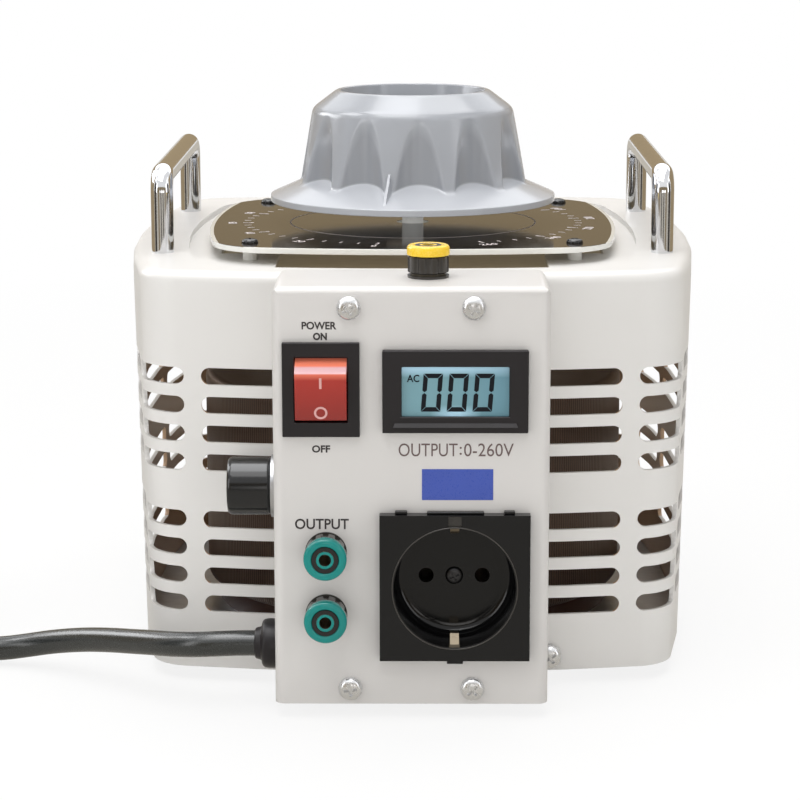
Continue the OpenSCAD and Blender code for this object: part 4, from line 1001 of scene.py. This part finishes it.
def ticks_tree():
    """Lays bars round an arc."""
    group = Group("bars_on_arc", Count="Int", Radius="Float", Length="Float", Width="Float", First="Float",
                  Step="Float", Middle="Vector", Finish="Material")
    given = group.given
    angle = given["First"] + group.add("GeometryNodeInputIndex") * given["Step"]
    along = group.math("COSINE", angle) * given["Radius"]
    across = group.math("SINE", angle) * given["Radius"]
    offset = group.add("ShaderNodeCombineXYZ", None, {0: along, 1: across})
    spot = group.add("ShaderNodeVectorMath", {"operation": "ADD"}, {0: offset, 1: given["Middle"]})
    line = group.add("GeometryNodeMeshLine", None, {"Count": given["Count"]})
    row = group.add("GeometryNodeSetPosition", None, {"Geometry": line, "Position": spot})
    size = group.add("ShaderNodeCombineXYZ", None, {0: given["Length"], 1: given["Width"], 2: INK_THICK * MM})
    bar = group.add("GeometryNodeMeshCube", None, {"Size": size})
    return group.copies(row, bar, group.add("ShaderNodeCombineXYZ", None, {2: angle}))


POINTS_TREE = points_tree()
TICKS_TREE = ticks_tree()


def on_points(name, piece, finish, spots):
    """Copies of a small piece at (point, facing, twist), as one plain mesh. The small piece is used up."""
    mesh = bpy.data.meshes.new(name)
    mesh.from_pydata([tuple(spot) for spot, _, _ in spots], [], [])
    mesh.attributes.new("facing", "FLOAT_VECTOR", "POINT")
    mesh.attributes.new("twist", "FLOAT", "POINT")
    for i, (_, way, angle) in enumerate(spots):
        mesh.attributes["facing"].data[i].vector = way
        mesh.attributes["twist"].data[i].value = angle
    result = grown(name, mesh, POINTS_TREE, Piece=piece, Finish=finish.material)
    bpy.data.objects.remove(piece)
    return result


def cross_screw(name, head_r, head_h, shank_r, shank_l):
    """Pan head with a cross recess, and its shank."""
    head = [(0, 0, 0), (head_r, 0, 0), (head_r, head_h * 0.35, 0.5), (head_r * 0.86, head_h * 0.75, 1.2),
            (head_r * 0.45, head_h, 1.2), (0, head_h, 0)]
    screw = piece_from(name, turned(rounded(head, 5), 48))
    arm, wide, floor = head_r * 0.55, head_r * 0.13, head_h - head_h * 0.62
    cutter = piece_from(name + "_recess", joined(block(-arm, arm, -wide, wide, floor, head_h + 1),
                                                 block(-wide, wide, -arm, arm, floor, head_h + 1.01)))
    cut = screw.modifiers.new("recess", "BOOLEAN")
    cut.object = cutter
    cut.operation = "DIFFERENCE"
    cut.solver = "EXACT"
    cut.use_self = True
    bake_modifiers(screw)
    bpy.data.objects.remove(cutter)
    points, faces = turned([(0, -shank_l), (shank_r, -shank_l), (shank_r, 0.1), (0, 0.1)], 24)
    form = bmesh.new()
    form.from_mesh(screw.data)
    corners = [form.verts.new(Vector(p) * MM) for p in points]
    for face in faces:
        form.faces.new([corners[i] for i in face])
    form.to_mesh(screw.data)
    form.free()
    smooth_faces(screw.data)
    screw.data.set_sharp_from_angle(angle=math.radians(30))
    return screw


def screws(name, screw, finish, spots, node):
    settle(on_points(name, screw, finish, spots), finish, "frame", (node,))


PANEL_SCREW_X, BASE_SCREW_X, DIAL_SCREW_AT = 20.5, 48.3, 58
TOP_ROW_Z, LOW_ROW_Z, BASE_HEAD = 139.9, 10.4, 3.2
panel_spots = [(place(sign * PANEL_SCREW_X, -BOX_FRONT, z), FRONT, twist) for sign, z, twist in
               ((-1, TOP_ROW_Z, 0.5), (1, TOP_ROW_Z, 1.1), (-1, LOW_ROW_Z, 0.15), (1, LOW_ROW_Z, 0.75))]
screws("panel_screw_heads", cross_screw("pan_screw", 4.0, 2.6, 2.0, 10.5), zinc,
       panel_spots, "panel_screws")
low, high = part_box("base_screws")
base_front = low.y / MM - AXIS_Y + BASE_HEAD
base_back = high.y / MM - AXIS_Y - BASE_HEAD
base_spots = [(place(sign * BASE_SCREW_X, y, LOW_ROW_Z), way, twist) for sign, y, way, twist in
              ((-1, base_front, FRONT, 0.2), (1, base_front, FRONT, 0.6),
               (-1, base_back, BACK, 0.9), (1, base_back, BACK, 0.3))]
screws("base_screw_heads", cross_screw("base_screw", 4.2, BASE_HEAD, 2.0, 5.5), zinc,
       base_spots, "base_screws")
dial_spots = [(place(sx * DIAL_SCREW_AT, sy * DIAL_SCREW_AT, DIAL_TOP), UP, 0.4 + sx * 0.3)
              for sx in (-1, 1) for sy in (-1, 1)]
screws("dial_screw_heads", cross_screw("dial_screw", 3.0, 1.6, 1.5, 12.0), black_gloss,
       dial_spots, "dial_screws")
screws("outlet_screw_head", cross_screw("outlet_screw", 3.0, 1.4, 1.5, 19.4), dark_steel,
       [(place(OUTLET_X, -BOX_FRONT + OUTLET_FLOOR, OUTLET_Z), FRONT, 0.4)], "socket_screw")


# Knob


def knob_shape():
    """Fluted knob about its own axis, with a ridge at angle 0."""
    foot, top, rim_z, rim_r, dish_z = 158.3, 199.7, 199.3, 29.1, 189.7
    reach, flute_r, count = 37.8, 12.6, 12
    wall_top, cap_z, wall_rows, wall_ease, skirt_gap = 195.4, 196, 32, 0.9, 0.35
    columns = count * 40
    lip_r, lip_z = FLANGE_R - 1.6, FLANGE_Z + 0.7
    angles = [2 * math.pi * k / columns for k in range(columns)]
    flutes = [flute_radius(angle, count, reach + flute_r, flute_r) for angle in angles]

    def softer(a, b, width):
        """The lesser of two values, with a rounded change from one to the other."""
        share = max(width - abs(a - b), 0) / width
        return min(a, b) - share * share * width / 4

    def outer(z):
        side = RIDGE_R + (SHOULDER_R - RIDGE_R) * (z - RIDGE_Z) / (SHOULDER_Z - RIDGE_Z)
        slant = SHOULDER_R - (SHOULDER_R - rim_r) * (z - SHOULDER_Z) / (rim_z - SHOULDER_Z)
        return softer(side, slant, 1.6)

    def skirt_z(r):
        return FLANGE_Z + SKIRT_SLOPE * (FLANGE_R - r)

    def level(profile):
        return [[(r, z)] * columns for r, z in profile]

    rows = level([(0, 184.7), (4.05, 184.7), (4.05, foot), (10, foot), (10, 186.5), (24, 186.5), (33, 183.5),
                  (34, 162.2), (47.5, foot)])
    rows += level(rounded([(FLANGE_R - 1.2, foot, 0), (FLANGE_R, foot, 0.25), (FLANGE_R, FLANGE_Z, 0.3),
                           (lip_r, lip_z, 0)], 3))
    feet = [min(RIDGE_R, flute) for flute in flutes]
    for t in (0.25, 0.5, 0.75, 0.92):
        radii = [lip_r * (1 - t) + r * t for r in feet]
        rows.append([(r, skirt_z(r)) for r in radii])
    for i in range(wall_rows + 1):
        t = (i / wall_rows) ** wall_ease
        row = []
        for flute, r in zip(flutes, feet):
            start = skirt_z(r) + skirt_gap
            z = start + (wall_top - start) * t
            row.append((softer(outer(z), flute, 0.25), z))
        rows.append(row)
    rows += level(rounded([(outer(cap_z), cap_z, 0), (rim_r, rim_z, 0.8), (28.2, top, 0.4), (27.2, top, 0.6),
                           (25.3, dish_z, 1.2), (0, dish_z, 0)], 4))
    return skin(rows)


def pointer_shape():
    """Sharp fin that carries one ridge out over the skirt."""
    inner, tip, low, high, half, edge = 40.5, 50.5, 161.0, 173.5, 2.2, 0.45
    points = [(inner, -half, low), (inner, half, low), (tip, edge, low), (tip, -edge, low)]
    points += [(inner, -edge, high), (inner, edge, high), (tip, edge, low + 1.2), (tip, -edge, low + 1.2)]
    faces = [(0, 1, 2, 3), (0, 3, 7, 4), (1, 5, 6, 2), (4, 7, 6, 5), (3, 2, 6, 7), (0, 4, 5, 1)]
    return points, faces


TRAVEL, START, FULL = 325.0, 258.5, 260
knob_turn = Matrix.Rotation(math.radians(START), 3, "Z")
knob = face_out(piece_from("fluted_knob", joined(knob_shape(), pointer_shape()), knob_turn, place(0, 0, 0)))
settle(soften(knob, sharp=42), knob_painted_light, "rotor", ("knob",))


# Dial plate with its print, ring line, ticks and numbers

dressed("dial_plate", dial_print, edge=0.3, sharp=40)
ring_line = [(46.0, 0.01, 0), (46.5, 0.01, 0), (46.5, 0.06, 0), (46.0, 0.06, 0)]
settle(lathe_piece("dial_ring_line", ring_line, UPWARD, place(0, 0, DIAL_TOP), steps=128, closed=True),
       pale_ink)


def dial_ticks(name, volts, radius, length, width):
    """One bar for every step of so many volts."""
    middle = place(0, 0, DIAL_TOP + INK_LIFT + INK_THICK / 2)
    ticks = grown(name, bpy.data.meshes.new(name), TICKS_TREE, Count=FULL // volts + 1, Radius=radius * MM,
                  Length=length * MM, Width=width * MM, First=math.radians(START),
                  Step=-math.radians(TRAVEL) * volts / FULL, Middle=middle, Finish=pale_ink.material)
    settle(ticks, pale_ink)


dial_ticks("dial_ticks_fine", 5, 62.6, 2.6, 0.4)
dial_ticks("dial_ticks_bold", 20, 62.0, 4.0, 0.8)


def word_mesh(name, words, weight):
    """A word as a mesh one unit wide, high and thick, centred on its surface."""
    curve = bpy.data.curves.new(name, "FONT")
    curve.body = words
    curve.offset = weight
    curve.resolution_u = 4
    curve.extrude = 0.02
    holder = link(name + "_curve", curve)
    graph = bpy.context.evaluated_depsgraph_get()
    mesh = bpy.data.meshes.new_from_object(holder.evaluated_get(graph))
    bpy.data.objects.remove(holder)
    mesh.name = name
    xs, ys = [v.co.x for v in mesh.vertices], [v.co.y for v in mesh.vertices]
    size = Vector((max(xs) - min(xs), max(ys) - min(ys), 2 * curve.extrude))
    middle = Vector(((max(xs) + min(xs)) / 2, (max(ys) + min(ys)) / 2, 0))
    for v in mesh.vertices:
        v.co = Vector(((v.co.x - middle.x) / size.x, (v.co.y - middle.y) / size.y, v.co.z / size.z + 0.5))
    return mesh


def word(name, words, matrix, origin, width, height, finish, weight=0.0):
    """A printed word of a given width and height on a surface."""
    mesh = word_mesh(name, words, weight)
    for v in mesh.vertices:
        v.co = origin + (matrix @ Vector((v.co.x * width, v.co.y * height, v.co.z * INK_THICK))) * MM
    settle(link(name, mesh), finish)


NUMBER_R, NUMBER_H, DIGIT_STEP, DIGIT_GAP = 68.0, 3.4, 2.3, 0.4
for volts in range(0, FULL + 1, 20):
    angle = math.radians(START - TRAVEL * volts / FULL)
    upright = Matrix.Rotation(angle + math.pi / 2, 3, "Z")
    spot = place(NUMBER_R * math.cos(angle), NUMBER_R * math.sin(angle), DIAL_TOP + INK_LIFT)
    digits = str(volts)
    width = DIGIT_STEP * len(digits) - DIGIT_GAP
    word("dial_number_" + digits, digits, upright, spot, width, NUMBER_H, pale_ink)


# Control panel: lettering, label, switch, meter and outlet

PANEL = BOX_FRONT + INK_LIFT
# Name, words, middle, width and height, weight of the strokes, and ink
PANEL_WORDS = (
    ("word_power", "POWER", -30.2, 134.1, 11.4, 2.6, 0.028, ink),
    ("word_on", "ON", -29.9, 130.5, 4.6, 2.5, 0.045, ink),
    ("word_off", "OFF", -29.8, 92.8, 6.0, 2.5, 0.034, ink),
    ("word_range", "OUTPUT", 5.55, 92.5, 19.5, 4.4, 0.0, thin_ink),
    ("word_range_dots", ":", 16.3, 92.2, 0.75, 2.7, 0.0, thin_ink),
    ("word_range_volts", "0-260V", 25.6, 92.5, 16.4, 4.4, 0.0, thin_ink),
    ("word_output", "OUTPUT", -29.7, 67.3, 17.9, 3.6, 0.016, ink))
for name, words, x, z, width, height, weight, tone in PANEL_WORDS:
    word(name, words, FORWARD, place(x, -PANEL, z), width, height, tone, weight)
label_box = block(3.5, 27.1, 75.5, 86.0, INK_LIFT, 0.16)
label = piece_from("blank_label", label_box, FORWARD, place(0, -BOX_FRONT, 0))
settle(soften(label, edge=0.06, sharp=40, parts=2), blue_label)

dressed("switch_body", black_plastic, edge=0.5, sharp=40)
dressed("rocker", red_plastic, "rocker", edge=0.6, sharp=30)
ROCKER_TILT = math.radians(12)
ON_ROCKER = FORWARD @ Matrix.Rotation(ROCKER_TILT, 3, "X")


def rocker_face(up):
    """A point just above the rocker's flat face, by its distance up the face from the pivot."""
    pivot_x, pivot_in, pivot_z, face_r = -29.7, 4.0, 112.9, 8.5 + INK_LIFT
    rise = up * math.cos(ROCKER_TILT) - face_r * math.sin(ROCKER_TILT)
    reach = up * math.sin(ROCKER_TILT) + face_r * math.cos(ROCKER_TILT)
    return place(pivot_x, -BOX_FRONT + pivot_in - reach, pivot_z + rise)


mark_on = piece_from("mark_on", block(-0.4, 0.4, -1.9, 1.9, 0.0, 0.06), ON_ROCKER, rocker_face(4.8))
settle(soften(mark_on, edge=0.02, sharp=40, parts=2), rocker_ink, "rocker")
off_ring = [(1.5, 0, 0), (2.2, 0, 0), (2.2, 0.06, 0), (1.5, 0.06, 0)]
mark_off = lathe_piece("mark_off", off_ring, ON_ROCKER, rocker_face(-5.7), steps=48, closed=True)
settle(mark_off, rocker_ink, "rocker")

dressed("meter_case", black_plastic, edge=0.45, sharp=40)
LIP_LOW, LIP_HIGH = 20.6, 20.0
lip_section = [(-0.9, 0.0), (-0.75, 0.95), (0.6, 0.06), (0.6, 0.0)]
lip_points = [(sign * (LIP_LOW if y < 0.2 else LIP_HIGH), y, h) for sign in (-1, 1) for y, h in lip_section]
lip_faces = [(3, 2, 1, 0), (4, 5, 6, 7), (0, 1, 5, 4), (1, 2, 6, 5), (2, 3, 7, 6), (3, 0, 4, 7)]
lip = piece_from("meter_lip", (lip_points, lip_faces), FORWARD, place(14.5, -BOX_FRONT - 2.5, 101.4))
settle(soften(lip, edge=0.08, sharp=30, parts=2), black_plastic)


def bar_outline(first, last, middle, bar, gap, half):
    """Corners of one display bar; its ends are mitred, or pointed where two bars meet at half height."""
    a, b = Vector(first), Vector(last)
    ahead = (b - a).normalized()
    side = Vector((-ahead.y, ahead.x))
    a, b = a + ahead * gap, b - ahead * gap
    if (middle - (a + b) / 2).dot(side) < 0:
        side = -side
    starts_at_half, stops_at_half = first[1] == half, last[1] == half
    notch = ahead * 0.4 * bar
    start = [a + ahead * bar + side * bar]
    if starts_at_half:
        start = [a + notch + side * bar, a + side * bar / 2, a + notch]
    stop = [b - ahead * bar + side * bar]
    if stops_at_half:
        stop = [b - notch, b + side * bar / 2, b - notch + side * bar]
    return ([] if starts_at_half else [a]) + ([] if stops_at_half else [b]) + stop + start


def nought_shape(left, low):
    """The six outer bars of a slanted nought on a segment display."""
    width, height, bar, gap, lean = 6.4, 12.7, 1.5, 0.12, 0.075
    half = height / 2
    middle = Vector((width / 2, half))
    ends = (((0, height), (width, height)), ((0, 0), (width, 0)), ((0, half), (0, height)),
            ((width, half), (width, height)), ((0, 0), (0, half)), ((width, 0), (width, half)))
    bars = []
    for first, last in ends:
        outline = bar_outline(first, last, middle, bar, gap, half)
        corners = [(left + p.x + lean * p.y, low + p.y) for p in outline]
        area = sum(p[0] * q[1] - q[0] * p[1] for p, q in zip(corners, corners[1:] + corners[:1]))
        if area < 0:
            corners.reverse()
        n = len(corners)
        points = [(x, y, z) for z in (0.0, INK_THICK) for x, y in corners]
        faces = [tuple(reversed(range(n))), tuple(range(n, 2 * n))]
        faces += [(k, (k + 1) % n, n + (k + 1) % n, n + k) for k in range(n)]
        bars.append((points, faces))
    return joined(*bars)


DISPLAY_OUT, NOUGHT_X, NOUGHT_STEP, NOUGHT_Z = 0.9, 3.1, 8.5, 105.6
DISPLAY_FACE = BOX_FRONT + DISPLAY_OUT + INK_LIFT
noughts = joined(*[nought_shape(NOUGHT_X + NOUGHT_STEP * k, NOUGHT_Z) for k in range(3)])
settle(piece_from("meter_digits", noughts, FORWARD, place(0, -DISPLAY_FACE, 0)), digit_ink)
word("meter_mode", "AC", FORWARD, place(0.6, -DISPLAY_FACE, 116.7), 4.1, 2.5, digit_ink, weight=0.02)

dressed("socket_cover", socket_black, edge=0.6, sharp=40)
dressed("socket_base", socket_black, edge=0.25, sharp=40, parts=2)
tab_boxes = ((-5.4, -1.4, 71.12, 72.1), (5.2, 24.1, 71.12, 71.9), (30.7, 34.3, 71.12, 72.1),
             (11.9, 17.3, 19.6, 21.08))
tab_out = 2.4
tab_shape = joined(*[block(x0, x1, z0, z1, 0.0, tab_out) for x0, x1, z0, z1 in tab_boxes])
tabs = piece_from("outlet_tabs", tab_shape, FORWARD, place(0, -BOX_FRONT, 0))
settle(soften(tabs, edge=0.25, sharp=40, parts=2), socket_black)
# The bead belongs to the black socket moulding; its paler smoke grey is a painted highlight.
bead_ring = [(20.6, 0.0, 0), (21.1, 0.0, 0), (21.0, 0.25, 0.12), (20.7, 0.25, 0.12), (20.6, 0.0, 0)]
bead_at = place(OUTLET_X, -BOX_FRONT - OUTLET_FACE, OUTLET_Z)
bead = lathe_piece("outlet_bead", bead_ring, FORWARD, bead_at, steps=128)
settle(bead, smoke_plastic)
notch = piece_from("outlet_notch_face", block(-2.25, 2.25, 20.5, 24.9, 2.82, 2.9), FORWARD,
                   place(OUTLET_X, -BOX_FRONT, OUTLET_Z))
settle(notch, smoke_plastic)


# Output posts, fuse and gland


def cap_shape():
    """Grip of a post: ten shallow scallops below, a plain sleeve above."""
    columns, count, cutter_at, cutter_r = 200, 10, 7.5, 1.2
    bottom, step_h, top, outer, sleeve, bore = 1.6, 7.45, 10.8, 6.9, 4.4, 3.05
    angles = [2 * math.pi * k / columns for k in range(columns)]
    grips = [min(outer, flute_radius(angle, count, cutter_at, cutter_r)) for angle in angles]

    def scalloped(cut, z):
        return [(r - cut, z) for r in grips]

    def plain(r, z):
        return [(r, z)] * columns

    return skin([plain(bore, bottom), scalloped(0.5, bottom), scalloped(0, bottom + 0.4),
                 scalloped(0, step_h - 0.5), scalloped(0.4, step_h - 0.1), plain(sleeve, step_h),
                 plain(sleeve, top - 0.3), plain(sleeve - 0.3, top), plain(bore, top)], True)


RING = [(4.45, 7.5, 0), (7.2, 7.5, 0.4), (7.2, 11.0, 1.9), (4.45, 11.0, 0.9), (4.45, 7.5, 0)]
SLEEVE = [(3.08, 10.82, 0), (4.4, 10.82, 0), (4.4, 10.9, 0), (3.08, 10.9, 0), (3.08, 10.82, 0)]
LINER = [(2.02, 10.62, 0), (2.95, 10.62, 0), (2.95, 10.85, 0.15), (2.02, 10.85, 0.1), (2.02, 10.62, 0)]


def dress_post(name, origin, matrix, ring_finish):
    cap = soften(piece_from(name + "_grip", cap_shape(), matrix, origin), sharp=35)
    settle(cap, smoke_plastic, name + "_cap", (name + "_post_cap",))
    band = lathe_piece(name + "_band", RING, matrix, origin, steps=72)
    settle(band, ring_finish, name + "_cap", (name + "_post_ring",))
    sleeve = lathe_piece(name + "_sleeve", SLEEVE, matrix, origin, steps=64)
    settle(sleeve, black_gloss, name + "_cap")
    liner = lathe_piece(name + "_liner", LINER, matrix, origin, steps=48)
    settle(liner, ring_finish, "frame")


dress_post("upper", place(POST_X, -BOX_FRONT, 57.6), FORWARD, teal_plastic)
dress_post("lower", place(POST_X, -BOX_FRONT, 36.2), FORWARD, teal_plastic)
dress_post("earth", place(5.6, -119.0, BOX_TOP), UPWARD, yellow_plastic)

fuse_at = place(-BOX_SIDE, -123.0, 76.0)
fuse_grip = [(0, -5.0, 0), (2.65, -5.0, 0), (2.65, -9.0, 0), (5.3, -9.0, 0.3), (5.3, 1.7, 0), (9.4, 1.7, 0.3),
             (9.8, 2.4, 0.4), (9.8, 15.0, 0.8), (9.1, 16.2, 0.7), (3.4, 16.2, 0.2), (3.2, 15.8, 0.2),
             (0, 15.8, 0)]
settle(lathe_piece("fuse_grip", fuse_grip, LEFTWARD, fuse_at, steps=96), black_gloss,
       "fuse_top", ("fuse_cap",))
fuse_bezel = [(10.42, 0.05, 0), (10.62, 0.05, 0), (10.62, 1.5, 0.2), (9.2, 1.62, 0.1), (9.2, 1.52, 0),
              (10.42, 1.52, 0), (10.42, 0.05, 0)]
settle(lathe_piece("fuse_bezel", fuse_bezel, LEFTWARD, fuse_at, steps=96), steel)

GLAND_Y, GLAND_Z, GLAND_END = -127.5, 22.0, 7.5
gland = [(4.5, -14.0, 0), (6.2, -14.0, 0.3), (6.2, 0.0, 0), (8.4, 0.0, 0.2), (8.5, 2.4, 0.8), (8.2, 4.3, 0.9),
         (7.2, 5.0, 0.6), (5.8, 5.2, 0.4), (5.2, 7.2, 0.3), (4.5, GLAND_END, 0), (4.5, -14.0, 0)]
gland_at = place(-BOX_SIDE, GLAND_Y, GLAND_Z)
settle(lathe_piece("gland_sleeve", gland, LEFTWARD, gland_at, steps=72), black_plastic,
       "frame", ("cord_gland",))


# Lead and plug

settle(lead, cord_pvc, "frame", ("cord_run", "cord_coil"))
tie = dressed("cord_tie", black_plastic, edge=0.3, sharp=40, parts=2)
plug = dressed("plug_body", black_plastic, edge=0.9, sharp=40)
pins = dressed("plug_pins", steel, edge=0.5, sharp=40)


# Finishes of the solids that stay as they are

KEPT = (
    (steel, "base_plate panel_standoffs handle_screws panel_nuts bearing_tube brush_arm knob_set_screw"),
    (rubber, "rubber_feet"),
    (brown_board, "guard_board"),
    (white_plastic, "dial_spacers"),
    (brass, "switch_terminals shaft_bushes slip_ring collector_arm"),
    (display, "meter_display"),
    (stud_metal, "socket_contacts upper_post_washer lower_post_washer earth_post_washer"),
    # The post studs take this darker metal as painted shade in the bores of the posts.
    (clip_metal, "socket_earth_clips post_studs"),
    (smoke_plastic, "post_bushes"),
    (black_plastic, "fuse_holder"),
    (fuse_glass, "fuse_link"),
    (core_steel, "core"),
    (copper, "winding"),
    (bakelite, "winding_base core_clamp"),
    (satin_steel, "shaft"),
    (carbon, "brush"),
    (sheath, "wiring"))


def finish_solid(node, finish):
    mesh = nodes[node].data
    if not mesh.materials:
        mesh.materials.append(finish.material)
    for k in range(len(mesh.materials)):
        mesh.materials[k] = finish.material


for finish, names in KEPT:
    for node in names.split():
        finish_solid(node, finish)

low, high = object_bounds()
